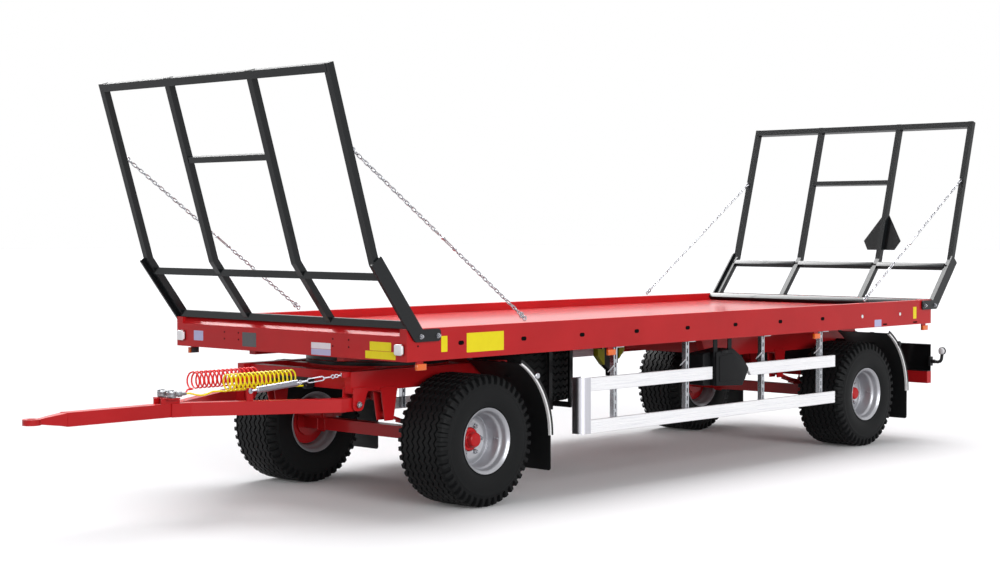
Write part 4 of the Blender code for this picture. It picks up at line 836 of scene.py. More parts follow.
def chain_mesh(top, low, screw_share):
    top, low = Vector(top), Vector(low)
    along = (low - top).normalized()
    length = (low - top).length
    screw_start = screw_share * length
    points = []
    for first, last in ((END_GAP, screw_start), (screw_start + SCREW_LENGTH, length - END_GAP)):
        count = round((last - first) / LINK_PITCH)
        points += [top + along * (first + (k + 0.5) * (last - first) / count) for k in range(count)]
    links = on_points(link_shape(LINK_PITCH, LINK_WIRE, LINK_HALF_WIDTH), zinc_plate, points, along,
                      math.pi / 2)
    middle = top + along * (screw_start + SCREW_LENGTH / 2)
    screw = on_points(screw_shape(SCREW_LENGTH), zinc_plate, [middle], along)
    rings = [moved(bar(circle_loop(radius), RING_WIRE, 8, closed=True), Matrix.Translation(place))
             for place, radius in ((top, 0.016), (low, 0.015), (low - along * 0.040, 0.018))]
    return joined(links, screw, *rings)


for end, top, low, screw_share in CHAIN_ENDS:
    chain = chain_mesh(top, low, screw_share)
    other = mirrored(chain)
    for label, shape in (("left", chain), ("right", other)):
        hand_over(f"chain_{end}_{label}", shape, zinc_plate, "platform",
                  (f"stay_chain_{end}_{label}",))

# %% [markdown]
# Side guards keep people away from the wheels. Two extruded rails hang on galvanised posts
# with a column of slots, and a bent sheet makes the nose. The rail's section has three
# shallow grooves, so it is an outline pushed along the trailer.

# %% Side guards
RAIL_OUTER = 1.200
RAIL_INNER = 1.170
RAIL_LOW, RAIL_HIGH, RAIL_TALL = 0.438, 0.750, 0.100
GUARD_FRONT, GUARD_REAR = 1.910, 5.155
UPPER_FRONT_END = 3.395
UPPER_REAR_LOW, UPPER_REAR_HIGH = 3.918, 3.833
POST_PLACES = (2.229, 3.107, 4.125, 4.981)
POST_HALF = 0.020
POST_TOP = 1.0697
SLOT_PITCH, SLOT_TALL = 0.062, 0.036
NOSE_LENGTH = 0.100


def rail_section(low):
    """Rail's outline in x and z: rounded corners and three grooves on the outer face."""
    high = low + RAIL_TALL
    outline = [(RAIL_INNER, low), (RAIL_OUTER - 0.003, low), (RAIL_OUTER, low + 0.003)]
    for share in (0.27, 0.50, 0.73):
        z = low + RAIL_TALL * share
        outline += [(RAIL_OUTER, z - 0.0025), (RAIL_OUTER - 0.0025, z), (RAIL_OUTER, z + 0.0025)]
    return outline + [(RAIL_OUTER, high - 0.003), (RAIL_OUTER - 0.003, high), (RAIL_INNER, high)]


def post_shape(y):
    """Folded channel: the web faces outwards and has a column of slots."""
    outer, inner = RAIL_INNER - 0.0005, RAIL_INNER - 0.0385
    low, front, wall = RAIL_LOW + 0.010, y - POST_HALF - 0.0005, 0.004
    back = y + POST_HALF + 0.0005
    parts = [block(inner, outer - wall, front, front + wall, low, POST_TOP),
             block(inner, outer - wall, back - wall, back, low, POST_TOP),
             block(outer - wall, outer, front, front + 0.014, low, POST_TOP),
             block(outer - wall, outer, back - 0.014, back, low, POST_TOP)]
    for k in range(int((POST_TOP - low) / SLOT_PITCH)):
        rung = block(outer - wall, outer, front + 0.014, back - 0.014, 0, SLOT_PITCH - SLOT_TALL)
        parts.append(moved(rung, Matrix.Translation((0, 0, low + k * SLOT_PITCH))))
    foot = block(inner - 0.010, RAIL_OUTER + 0.016, y - 0.045, y + 0.045, POST_TOP - 0.010,
                 POST_TOP)
    return joined(*parts, soften(foot, 0.002))


def guard_rails():
    parts = [prism(rail_section(RAIL_LOW), "y", GUARD_FRONT - 0.02, GUARD_REAR),
             prism(rail_section(RAIL_HIGH), "y", GUARD_FRONT - 0.02, UPPER_FRONT_END),
             prism(rail_section(RAIL_HIGH), "y", UPPER_REAR_HIGH, GUARD_REAR)]
    for vert in parts[2].verts:
        if vert.co.y < UPPER_REAR_HIGH + 0.001:
            share = (vert.co.z - RAIL_HIGH) / RAIL_TALL
            vert.co.y = UPPER_REAR_LOW + (UPPER_REAR_HIGH - UPPER_REAR_LOW) * share
    return joined(*[soften(part, 0.001, 1, 60) for part in parts])


def guard_nose():
    outer, inner = RAIL_OUTER - 0.0005, RAIL_INNER - 0.068
    tip = GUARD_FRONT - NOSE_LENGTH
    route = rounded([(inner, GUARD_FRONT, 0.0), (inner, tip, 0.008), (outer, tip, 0.052),
                     (outer, GUARD_FRONT, 0.0)], 14)
    return prism(band(route, 0.003), "z", RAIL_LOW + 0.002, RAIL_HIGH + RAIL_TALL + 0.004)


def lanyard(y):
    """Thin pin that hangs across a post's upper end."""
    near = y - POST_HALF - 0.006
    return bar([(RAIL_INNER - 0.052, near, 0.872), (RAIL_INNER + 0.004, near, 0.924)], 0.0042, 8)


for label, side in SIDES:
    pieces = (("rails", guard_rails(), rail_aluminium, "aluminium"),
              ("posts", joined(*[post_shape(y) for y in POST_PLACES]), galvanised_steel, "zinc"),
              ("pins", joined(*[lanyard(y) for y in POST_PLACES]), rail_aluminium, "aluminium"),
              ("nose", guard_nose(), nose_aluminium, "aluminium"))
    for part, shape, finish, slot in pieces:
        stands_for = (f"side_guard_{label}",) if part == "rails" else ()
        hand_over(f"guard_{part}_{label}", on_side(shape, side), finish, "platform",
                  stands_for)

# %% [markdown]
# Mudguards are bent from black plastic sheet with a turned-out lip; a white strip marks the
# outer edge. A flap is bolted to the lower end, and a tube across the guard's back ties it to
# the frame.

# %% Mudguards
GUARD_RADIUS = 0.603
GUARD_WALL = 0.006
GUARD_WIDTH = 0.534
LIP = 0.028
STRIP_TALL = 0.013
TUBE_OUT = 0.022
TOP_ANGLE = 62.0
TUBE_ANGLE = math.radians(44.0)
FLAP_BOTTOM = 0.205


def guard_arc(y, z, radius, first=0.0):
    """Points of the guard's curve from its top down to its straight end."""
    steps = 22
    points = []
    for k in range(steps + 1):
        turn = math.radians(TOP_ANGLE - first) * (1 - k / steps)
        points.append((y + radius * math.cos(turn), z + radius * math.sin(turn)))
    points.append((y + radius, z - 0.005))
    return points


def mudguard_parts(centre, rail_face):
    x, y, z = centre
    inner, outer = x - GUARD_WIDTH / 2, x + GUARD_WIDTH / 2
    sheet = prism(band(guard_arc(y, z, GUARD_RADIUS), GUARD_WALL), "x", inner, outer)
    lips = [prism(band(guard_arc(y, z, GUARD_RADIUS + LIP / 2), LIP), "x", at, at + 0.005)
            for at in (inner, outer - 0.005)]
    ribs = [prism(band(guard_arc(y, z, GUARD_RADIUS + 0.004), 0.008), "x", x + off - 0.02,
                  x + off + 0.02)
            for off in (-0.09, 0.09)]
    strip = prism(band(guard_arc(y, z, GUARD_RADIUS - 0.001, 1.0), STRIP_TALL), "x",
                  outer - 0.018, outer + 0.002)
    flap_y = y + GUARD_RADIUS + 0.001
    flap = soften(prism(rounded([(inner + 0.01, FLAP_BOTTOM, 0.02),
                                 (outer - 0.006, FLAP_BOTTOM, 0.02),
                                 (outer - 0.006, z + 0.02, 0), (inner + 0.01, z + 0.02, 0)]),
                        "y", flap_y, flap_y + 0.008), 0.001, 1, 60)
    tube_y = y + (GUARD_RADIUS + TUBE_OUT) * math.cos(TUBE_ANGLE)
    tube_z = z + (GUARD_RADIUS + TUBE_OUT) * math.sin(TUBE_ANGLE)
    tube = bar([(rail_face + 0.0005, tube_y, tube_z), (outer + 0.004, tube_y, tube_z)], 0.0212, 20)
    cap = turned([(0, 0), (0, 0.0222), (0.010, 0.0222), (0.014, 0.018), (0.014, 0)], "x",
                 (outer + 0.004, tube_y, tube_z), 20)
    clamp = soften(block(x - 0.03, x + 0.03, tube_y - 0.03, tube_y + 0.03, tube_z - 0.021,
                         tube_z - 0.012),
                   0.002)
    bolt_points = [(x + off, flap_y + 0.008, z + 0.006) for off in (-0.20, -0.07, 0.07, 0.20)]
    bolts = on_points(nut_shape(0.013, 0.006, 0.004), zinc_plate, bolt_points, (0, 1, 0))
    return joined(sheet, *lips, *ribs, clamp), strip, flap, joined(tube, cap), bolts


for end, body, rail_face, tube_look in (("front", "bogie", 0.6188, (galvanised_steel, "zinc")),
                                        ("rear", "platform", 0.5256,
                                         (black_enamel, "dark_grey_paint"))):
    guard, strip, flap, tube, bolts = mudguard_parts(centre_of(f"tyre_{end}_left"), rail_face)
    table = (("shell", guard, black_polypropylene, "black_plastic"),
             ("edge", strip, white_rubber, "black_plastic"),
             ("flap", flap, black_polypropylene, "black_plastic"), ("tube", tube, *tube_look))
    for part, shape, finish, slot in table:
        other = mirrored(shape)
        for label, version in (("left", shape), ("right", other)):
            stands_for = (f"mudguard_{end}_{label}",) if part == "shell" else ()
            hand_over(f"mudguard_{part}_{end}_{label}", version, finish, body, stands_for)
    for label, side in SIDES:
        mesh = bolts.copy()
        if side < 0:
            mesh.transform(Matrix.Scale(-1, 4, (1, 0, 0)))
            mesh.flip_normals()
        hand_over(f"mudguard_rivets_{end}_{label}", mesh, zinc_plate, body)

# %% [markdown]
# Small electrics: amber marker lamps under the side boards, white position lamps in the
# front panel, lamp clusters and reflectors on the rear board, and a two-sided marker on a
# rubber stalk at each rear corner.

# %% Lamps
MARKER_PLACES = (0.140, 2.099, 4.812, 6.583)
lens_parts, bracket_parts = [], []
for y in MARKER_PLACES:
    lens = block(1.2230, 1.2475, y - 0.0435, y + 0.0435, 1.0090, 1.0530)
    clip = block(1.2130, 1.2250, y - 0.0300, y + 0.0300, 1.0110, 1.0520)
    lens_parts.append(soften(lens, 0.005, 3))
    bracket_parts.append(soften(clip, 0.002))
    bracket_parts.append(block(1.2180, 1.2215, y - 0.0280, y + 0.0280, 1.0500, 1.0700))
lenses, brackets = joined(*lens_parts), joined(*bracket_parts)
for label, shape, bracket in (("right", mirrored(lenses), mirrored(brackets)),
                              ("left", lenses, brackets)):
    hand_over(f"marker_lenses_{label}", shape, amber_lens)
    hand_over(f"marker_brackets_{label}", bracket, grey_film, "platform")

for label, side in SIDES:
    low, high = sorted((side * 1.1460, side * 1.2250))
    glass = soften(prism(rounded_box(low, high, 1.1130, 1.1870, 0.016), "y", -0.0240, -0.006),
                   0.006, 3, 60)
    shell = soften(prism(rounded_box(low - 0.0012, high + 0.0012, 1.1118, 1.1882, 0.017),
                         "y", -0.008, -0.0002), 0.002, 2, 60)
    hand_over(f"front_lamp_glass_{label}", glass, white_lens)
    hand_over(f"front_lamp_shell_{label}", shell, black_polypropylene)

REAR_LAMP = (
    # finish, from, to, of the cluster's width
    (amber_lens, 0.02, 0.33), (red_lens, 0.345, 0.76), (white_lens, 0.775, 0.98),
)
CLUSTER_OUTER, CLUSTER_WIDTH = 1.09, 0.37
for label, side in SIDES:
    for finish, *shares in REAR_LAMP:
        ends = sorted(side * (CLUSTER_OUTER - share * CLUSTER_WIDTH) for share in shares)
        shape = soften(prism(rounded_box(*ends, 0.674, 0.791, 0.008, 3), "y", 6.895, 6.9045),
                       0.003, 2, 60)
        hand_over(f"rear_lens_{finish.name}_{label}", shape, finish)
    middle = side * 0.60
    corners = [(middle - 0.075, 0.665), (middle + 0.075, 0.665), (middle, 0.795)]
    reflector = soften(prism(corners, "y", 6.8605, 6.868), 0.003, 2, 60)
    hand_over(f"rear_reflector_{label}", reflector, red_lens)


STALK_Y = 6.830
STALK_LAMP = (1.278, STALK_Y, 0.806)


def stalk_shape():
    base = soften(block(1.1453, 1.1703, 6.806, 6.854, 0.662, 0.748), 0.004)
    bends = ((1.165, 0.706), (1.205, 0.703), (1.244, 0.704), (1.268, 0.722), (1.277, 0.770))
    route = smooth_route([(x, STALK_Y, z) for x, z in bends], 6)
    rings = bar(route, 0.0150, 14)
    bead = [turned([(-0.005, 0), (-0.005, 0.019), (0.005, 0.019), (0.005, 0)], "x",
                   (x, STALK_Y, 0.7045), 14) for x in (1.180, 1.198)]
    shell = turned([(-0.010, 0), (-0.010, 0.033), (-0.006, 0.0365), (0.006, 0.0365), (0.010, 0.033),
                    (0.010, 0)],
                   "y", STALK_LAMP, 32)
    return joined(base, rings, shell, *bead)


DOME = ((0.0095, 0), (0.0095, 0.031), (0.0170, 0.028), (0.0220, 0.017), (0.0230, 0))


def dome(way):
    return turned([(way * a, r) for a, r in DOME], "y", STALK_LAMP, 28)


for part, make, finish in (("stalk", stalk_shape, black_polypropylene),
                           ("front_glass", lambda: dome(-1), white_lens),
                           ("rear_glass", lambda: dome(1), red_lens)):
    for label, side in SIDES:
        stands_for = (f"marker_stalk_{label}",) if part == "stalk" else ()
        hand_over(f"outline_marker_{part}_{label}", on_side(make(), side), finish,
                  stands_for=stands_for)

# %% [markdown]
# Plates and films on the boards carry no words here. Each is a thin leaf with rounded
# corners, 0.6 mm thick.

# %% Blank films and plates
FILM = 0.0006
BOARD_FACE = 1.250
FILMS = (
    # name, finish, face, first coordinate's span, height's span
    ("yellow_narrow", yellow_film, "side", 0.316, 0.374, 1.123, 1.230),
    ("yellow_wide", yellow_film, "side", 0.559, 0.925, 1.108, 1.240),
    ("yellow_rear", yellow_film, "side", 6.356, 6.412, 1.122, 1.230),
    ("lilac_rear", lilac_film, "side", 5.704, 5.816, 1.074, 1.136),
    ("grey_front", grey_film, "front", -0.471, -0.313, 1.099, 1.201),
    ("lilac_corner", lilac_film, "front", -1.044, -0.932, 1.119, 1.192),
    ("white_front", white_film, "front", 0.289, 0.493, 1.121, 1.163),
    ("lilac_front", lilac_film, "front", 0.289, 0.493, 1.077, 1.119),
    ("yellow_upper", yellow_film, "front", 0.889, 1.098, 1.134, 1.194),
    ("yellow_lower", yellow_film, "front", 0.845, 1.141, 1.080, 1.131),
)
for name, finish, face, u0, u1, v0, v1 in FILMS:
    outline = rounded_box(u0, u1, v0, v1, 0.004, 3)
    if face == "side":
        leaf = prism(outline, "x", BOARD_FACE, BOARD_FACE + FILM)
    else:
        leaf = prism(outline, "y", -FILM, 0.0)
    hand_over(f"film_{name}", leaf, finish)

# %% [markdown]
# The ten oblong slots of a side board are filled with a dull near-black leaf at the face, painted
# shade for the dark inside of each slot, except for two white plugs near the rear. Small drilled
# holes in the panels get the same painted shade.

# %% Painted shade in the slots and holes, and the white plugs
SLOT_FIRST, SLOT_STEP, SLOT_Z = 0.505, 0.625, 1.177
SLOT_COUNT = 10
WHITE_SLOTS = (8, 9)
PANEL_HOLES = tuple((side * x, z) for side in (1, -1) for x in (0.515, 0.678)
                    for z in (1.145, 1.194))
SIDE_HOLES = (
    # y, z, half length
    (0.100, 1.172, 0.007), (5.876, 1.091, 0.034), (6.390, 1.091, 0.036),
)


def oblong(u, v, half_long, half_tall):
    return rounded_box(u - half_long, u + half_long, v - half_tall, v + half_tall, half_tall * 0.98)


for label, side in SIDES:
    dark, white = [], []
    for k in range(SLOT_COUNT):
        y = SLOT_FIRST + k * SLOT_STEP
        pale = k in WHITE_SLOTS
        outline = (circle(y, SLOT_Z - 0.004, 0.015, 20) if pale
                   else oblong(y, SLOT_Z, 0.0265, 0.0145))
        (white if pale else dark).append(prism(outline, "x", 1.2490, 1.2512))
    dark += [prism(oblong(y, z, half, 0.0065), "x", 1.2490, 1.2508) for y, z, half in SIDE_HOLES]
    for name, parts, finish in (("dark", dark, plug_rubber), ("white", white, white_rubber)):
        hand_over(f"slot_plugs_{name}_{label}", on_side(joined(*parts), side), finish)
hand_over("panel_plugs",
          joined(*[prism(circle(x, z, 0.0065, 12), "y", -0.0010, 0.0) for x, z in PANEL_HOLES]),
          plug_rubber)

# %% [markdown]
# The slow-vehicle sign hangs behind the rear frame with its black back towards the cab. Its
# face is a plain orange triangle in a dark red border. The rear frame's own figures come
# first: its posts stand so far beyond the deck's end at the foot, the knee and the top.

# %% Slow-vehicle sign
DECK_LENGTH, BOARD_TOP = 6.67, 1.288
FOOT_OUT, KNEE_OUT, TOP_OUT = 0.085, 0.388, 0.772
KNEE_Z, TOP_Z = 1.638, 2.957
POST_HALF_DEPTH = 0.0253
SIGN_LOW, SIGN_X, SIGN_MIDDLE = 1.735, 0.440, 0.130
frame_lean = math.atan2(TOP_OUT - KNEE_OUT, TOP_Z - KNEE_Z)
sign_y = (DECK_LENGTH + KNEE_OUT + (SIGN_LOW - KNEE_Z) * math.tan(frame_lean)
          + POST_HALF_DEPTH / math.cos(frame_lean))


def sign_leaf(grow, low, high):
    """Triangle with cut corners, grown outwards by a distance."""
    corners = ((-0.150, 0), (0.150, 0), (0.205, 0.090), (0.035, 0.350), (-0.035, 0.350),
               (-0.205, 0.090))
    outline = []
    for x, z in corners:
        out = Vector((x, z - SIGN_MIDDLE)).normalized() * grow
        outline.append((SIGN_X + x + out.x, z + out.y))
    leaf = prism(outline, "y", low, high)
    return moved(leaf,
                 Matrix.Translation((0, sign_y, SIGN_LOW)) @ Matrix.Rotation(-frame_lean, 4, "X"))


hand_over("sign_border", sign_leaf(-0.004, 0.004, 0.0048), red_lens)
hand_over("sign_face", sign_leaf(-0.045, 0.0048, 0.0056), amber_lens)

# %% [markdown]
# Bolts hold the end frames' feet and the drawbar's pins. They stand on points, so one call
# fits a whole set.

# %% Bolts
PLATE_FACE = 1.2653
FOOT_BOLTS = (
    # y, z on the side plates' feet
    (0.115, 1.236), (0.273, 1.236), (6.540, 1.236), (6.710, 1.236),
)
for label, side in SIDES:
    places = [(side * PLATE_FACE, y, z) for y, z in FOOT_BOLTS]
    hand_over(f"foot_bolts_{label}", on_points(nut_shape(0.024, 0.013, 0.008), zinc_plate, places,
                                               (side, 0, 0)), zinc_plate, "platform")
pin_places = [(side * 0.660, 0.113, 0.744) for side in (1, -1)]
for (label, side), place in zip(SIDES, pin_places):
    hand_over(f"drawbar_pin_nut_{label}",
              on_points(nut_shape(0.030, 0.012, 0.010), zinc_plate, [place],
                        (side, 0, 0)), zinc_plate, "drawbar")

# %% [markdown]
# The rear frame's two lower bars are square tubes turned with the leaning legs, so their upper
# face looks forwards and up and mirrors the sky, and the lower face stays dark. The middle
# one stands a little forward over the CAD's upright bar, whose lower and rear edges still
# stand out of it by 10 to 21 mm.

# %% Lower bars of the rear frame
LEG_LEAN = math.atan2(KNEE_OUT - FOOT_OUT, KNEE_Z - BOARD_TOP)
BAR_HALF = 0.025
BAR_FORWARD = 0.011
MIDDLE_BAR_Z = 1.578
panel_low, panel_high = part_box("rear_panel")
deck_rear = panel_high[1] - DECK_FRONT


def leaning_bar(y, z, spans):
    """Square tube across the frame, turned by the legs' lean."""
    along = Vector((math.sin(LEG_LEAN), math.cos(LEG_LEAN))) * BAR_HALF
    across = Vector((along.y, -along.x))
    centre = Vector((y, z))
    corners = ((-1, -1), (1, -1), (1, 1), (-1, 1))
    section = [tuple(centre + a * along + b * across) for a, b in corners]
    tubes = [soften(prism(section, "x", first, last), 0.003, 2, 60) for first, last in spans]
    return joined(*tubes)


foot_bar = leaning_bar(panel_low[1] - DECK_FRONT - 0.036, panel_high[2] - 0.029,
                       [(panel_low[0], panel_high[0])])
middle_y = (deck_rear + FOOT_OUT + (MIDDLE_BAR_Z - BOARD_TOP) * math.tan(LEG_LEAN)
            - BAR_FORWARD * math.cos(LEG_LEAN))
middle_bar = leaning_bar(middle_y, MIDDLE_BAR_Z + BAR_FORWARD * math.sin(LEG_LEAN),
                         [(-1.2020, -0.4755), (-0.4245, 0.4245), (0.4755, 1.2020)])
for place, shape in (("foot", foot_bar), ("middle", middle_bar)):
    hand_over(f"rear_frame_{place}_bar", shape, glossy_powder_coat, "platform")

# %% [markdown]
# Each leaf spring is clamped to its axle by two U-bolts: four threaded ends with nuts above
# the spring's pad and a bend under the beam.

# %% U-bolts on the springs
BEAM_HALF = 0.045
U_BOLT_HALF = 0.0415


def u_bolt(x, y, z):
    """U-bolt over a leaf spring, its bend under the axle beam."""
    half = U_BOLT_HALF
    low, high = z - BEAM_HALF - 0.008, z + BEAM_HALF + 0.092
    route = [(x - half, y, high), (x - half, y, low + 0.010), (x - half + 0.003, y, low + 0.003),
             (x - half + 0.010, y, low), (x + half - 0.010, y, low),
             (x + half - 0.003, y, low + 0.003),
             (x + half, y, low + 0.010), (x + half, y, high)]
    return bar(route, 0.0075, 8)


for end, body, spring_x in (("front", "bogie", 0.585), ("rear", "platform", 0.480)):
    centre = centre_of(f"tyre_{end}_left")
    parts, tops = [], []
    for side in (1, -1):
        for off in (-0.042, 0.042):
            parts.append(u_bolt(side * spring_x, centre.y + off, centre.z))
            tops += [(side * spring_x + way * U_BOLT_HALF, centre.y + off, centre.z + 0.1035)
                     for way in (1, -1)]
    nuts = on_points(nut_shape(0.022, 0.013, 0.007), zinc_plate, tops, (0, 0, 1))
    hand_over(f"spring_u_bolts_{end}", joined(*parts, nuts), red_enamel, body)

# %% [markdown]
# The coupling heads are die-cast palms parked side by side on their bracket, each with a
# spring cap and a lever.

# %% Coupling heads
COUPLING_Y = -1.010
COUPLING_BASE = 0.8283


def coupling_head(x):
    body = turned([(0.004, 0), (0.004, 0.027), (0.008, 0.030), (0.026, 0.030), (0.032, 0.034),
                   (0.040, 0.033), (0.044, 0.024), (0.046, 0)], "z", (x, COUPLING_Y, COUPLING_BASE),
                  32)
    neck = turned([(0.010, 0), (0.010, 0.016), (0.050, 0.015), (0.056, 0.019), (0.078, 0.019),
                   (0.084, 0.012), (0.118, 0.010), (0.120, 0.007), (0.120, 0)], "y",
                  (x, COUPLING_Y, COUPLING_BASE + 0.021), 20)
    lever = soften(block(x - 0.006, x + 0.006, COUPLING_Y - 0.038, COUPLING_Y + 0.018,
                         COUPLING_BASE + 0.044,
                         COUPLING_BASE + 0.052), 0.002)
    lug = soften(block(x - 0.036, x - 0.022, COUPLING_Y - 0.014, COUPLING_Y + 0.016,
                       COUPLING_BASE + 0.006,
                       COUPLING_BASE + 0.040), 0.003)
    return [body, neck, lever, lug]


rail = soften(block(-0.085, 0.085, COUPLING_Y - 0.014, COUPLING_Y + 0.014, COUPLING_BASE,
                    COUPLING_BASE + 0.010), 0.002)
hand_over("coupling_heads", joined(rail, *coupling_head(-0.052), *coupling_head(0.052)), cast_alloy,
          "drawbar", ("brake_couplings",))

# %% [markdown]
# A closed coil spring holds the drawbar level. It is one wire wound turn against turn, so a
# round bar follows a tight helix; the rods and links are bars too.

# %% Support spring
SPRING_START = Vector((0.290, -0.535, 0.858))
SPRING_END = Vector((0.585, 0.030, 0.950))
SPRING_COIL = (0.045, 0.325)
SPRING_WIRE = 0.0024
SPRING_RADIUS = 0.0225
STEPS_PER_TURN = 14
spring_along = (SPRING_END - SPRING_START).normalized()
spring_side = spring_along.cross(Vector((0, 0, 1))).normalized()
spring_up = spring_side.cross(spring_along)
spring_length = (SPRING_END - SPRING_START).length


def on_spring(distance, radius=0.0, turn=0.0):
    return (SPRING_START + spring_along * distance
            + (spring_side * math.cos(turn) + spring_up * math.sin(turn)) * radius)


def wound_coil():
    first, last = SPRING_COIL
    steps = round((last - first) / (2 * SPRING_WIRE)) * STEPS_PER_TURN
    points = [on_spring(first + (last - first) * k / steps, SPRING_RADIUS - SPRING_WIRE,
                        2 * math.pi * k / STEPS_PER_TURN) for k in range(steps + 1)]
    return bar(points, SPRING_WIRE * 1.03, 6)


def spring_bar(first, last, radius, sides=12):
    return bar([on_spring(first), on_spring(last)], radius, sides)


def eye_disc(centre):
    return turned([(-0.004, 0), (-0.004, 0.018), (0.004, 0.018), (0.004, 0)], "x", centre, 24)


spring_parts = [wound_coil(), eye_disc(SPRING_START), eye_disc(SPRING_END),
                spring_bar(0.010, 0.050, 0.007), spring_bar(0.044, 0.056, 0.021, 20),
                spring_bar(0.314, 0.326, 0.021, 20), spring_bar(0.320, 0.395, 0.006),
                spring_bar(0.350, 0.386, 0.0075), spring_bar(0.505, 0.560, 0.006),
                spring_bar(spring_length - 0.034, spring_length - 0.010, 0.007)]
link_frame = Matrix((spring_up, -spring_side, spring_along)).transposed().to_4x4()
for distance, long, wire, wide in ((0.345, 0.014, 0.004, 0.012), (0.452, 0.110, 0.0045, 0.0135),
                                   (0.572, 0.016, 0.004, 0.012), (0.598, 0.016, 0.004, 0.010)):
    spring_parts.append(moved(link_shape(long, wire, wide),
                              Matrix.Translation(on_spring(distance)) @ link_frame))
hand_over("spring_and_rods", joined(*spring_parts), spring_zinc, "drawbar_spring",
          ("support_spring",))

# %% [markdown]
# Under the deck hang the tool box, the chocks and the line filters.

# %% Tool box, chocks and filters
BOX = (3.320, 3.850, 0.680, 0.985)
BOX_X = (1.020, 1.235)


def box_outline(shrink):
    front, rear, low, high = BOX
    corners = [(front + shrink, low + 0.02 + shrink, 0.02), (rear - 0.09, low + shrink, 0.02),
               (rear - shrink, low + 0.13, 0.03),
               (rear - 0.10 - shrink * 0.5, high - 0.07 - shrink, 0.03),
               (rear - 0.22, high - shrink, 0.03), (front + shrink, high - 0.03 - shrink, 0.02)]
    return rounded(corners, 6)


BOX_STEP_Y, BOX_STEP = 3.410, 0.070


def box_layer(shrink, low, high, round_off, first=BOX_STEP_Y):
    """Slice of the box between two x, cut off in front of the step."""
    layer = prism(box_outline(shrink), "x", low, high)
    edges = layer.verts[:] + layer.edges[:] + layer.faces[:]
    cut = bmesh.ops.bisect_plane(layer, geom=edges, plane_co=(0, first, 0), plane_no=(0, -1, 0),
                                 clear_outer=True)["geom_cut"]
    bmesh.ops.holes_fill(layer, edges=[e for e in cut if isinstance(e, bmesh.types.BMEdge)],
                         sides=0)
    bmesh.ops.recalc_face_normals(layer, faces=layer.faces)
    return soften(layer, round_off, 3, 60)


tool_box = joined(
    soften(prism(box_outline(0), "x", BOX_X[0], BOX_X[1] - BOX_STEP), 0.008, 3, 60),
    box_layer(0, BOX_X[1] - BOX_STEP - 0.01, BOX_X[1] - 0.030, 0.004),
    box_layer(0.004, BOX_X[1] - 0.032, BOX_X[1] - 0.026, 0.001, BOX_STEP_Y + 0.004),
    box_layer(0, BOX_X[1] - 0.026, BOX_X[1] - 0.006, 0.006),
    box_layer(0.035, BOX_X[1] - 0.010, BOX_X[1], 0.004, BOX_STEP_Y + 0.035),
    soften(block(BOX_X[1] - 0.012, BOX_X[1] - 0.001, 3.47, 3.55, 0.952, 0.975), 0.003),
    block(1.206, 1.214, 3.39, 3.44, 0.925, 1.0697), block(1.206, 1.214, 3.58, 3.63, 0.925, 1.0697))
hand_over("tool_box", tool_box, box_polyethylene, "platform", ("toolbox",))

CHOCK_FACE = 0.5153
CHOCK_TOP = 1.045
TOOTH_DEPTH = 0.009
FRONT_SHELL = ((2.685, CHOCK_TOP), (2.690, 0.940), (2.762, 0.868), (2.772, 0.868),
               (2.772, CHOCK_TOP))
REAR_SHELL = ((2.950, CHOCK_TOP), (2.950, 0.905), (3.018, 0.975), (3.018, CHOCK_TOP))


def toothed(start, end, teeth):
    """Points of a saw edge from start to end."""
    start, end = Vector(start), Vector(end)
    across = Vector((start.y - end.y, end.x - start.x)).normalized() * TOOTH_DEPTH
    points = []
    for k in range(teeth):
        points += [tuple(start.lerp(end, k / teeth)),
                   tuple(start.lerp(end, (k + 0.5) / teeth) + across)]
    return points


shells = [soften(prism(outline, "x", CHOCK_FACE + 0.040, CHOCK_FACE + 0.092), 0.004, 2, 60)
          for outline in (FRONT_SHELL, REAR_SHELL)]
hand_over("chocks", joined(*shells), chock_yellow, "platform", ("wheel_chocks",))
sole = ([(2.770, CHOCK_TOP)] + toothed((2.770, 0.860), (2.837, 0.812), 4)
        + [(2.837, 0.775), (2.888, 0.775)] + toothed((2.888, 0.800), (2.952, 0.895), 5)
        + [(2.952, CHOCK_TOP)])
hand_over("chock_soles", prism(sole, "x", CHOCK_FACE + 0.044, CHOCK_FACE + 0.088),
          black_polypropylene)
holder = joined(
    block(CHOCK_FACE, CHOCK_FACE + 0.008, 2.670, 3.020, 1.00, 1.13),
    block(CHOCK_FACE, CHOCK_FACE + 0.150, 2.674, 2.678, 1.00, 1.12),
    block(CHOCK_FACE, CHOCK_FACE + 0.150, 2.674, 3.000, 1.046, 1.050))
hand_over("chock_holder", holder, galvanised_steel, "platform")

filters = []
for x, z in ((0.148, 0.8485), (-0.198, 0.8585)):
    filters.append(turned([(0.045, 0), (0.045, 0.010), (0.052, 0.010), (0.054, 0.019),
                           (0.060, 0.023), (0.125, 0.023), (0.128, 0.020), (0.128, 0)], "y",
                          (x, 0, z), 28))
filters.append(soften(block(-0.225, 0.175, 0.1235, 0.1295, 0.840, 0.900), 0.002))
hand_over("line_filter_cups", joined(*filters), black_enamel, "bogie", ("line_filters",))
print("pieces:", piece_count)

# %% [markdown]
# The ball ring between bogie and platform is black here. Each half gets a black turned cover that
# hides the flat sides of the frame's own ring.

# %% Ball ring
RING_CENTRE_Y = 0.889
for name, body, low, high in (("lower", "bogie", 0.970, 0.9995),
                              ("upper", "platform", 1.0025, 1.032)):
    profile = ((low, 0.4195), (high, 0.4195), (high, 0.5240), (high - 0.003, 0.5275),
               (low + 0.003, 0.5275),
               (low, 0.5240))
    hand_over(f"ball_ring_{name}", turned(profile, "z", (0, RING_CENTRE_Y, 0), 96), black_enamel,
              body)

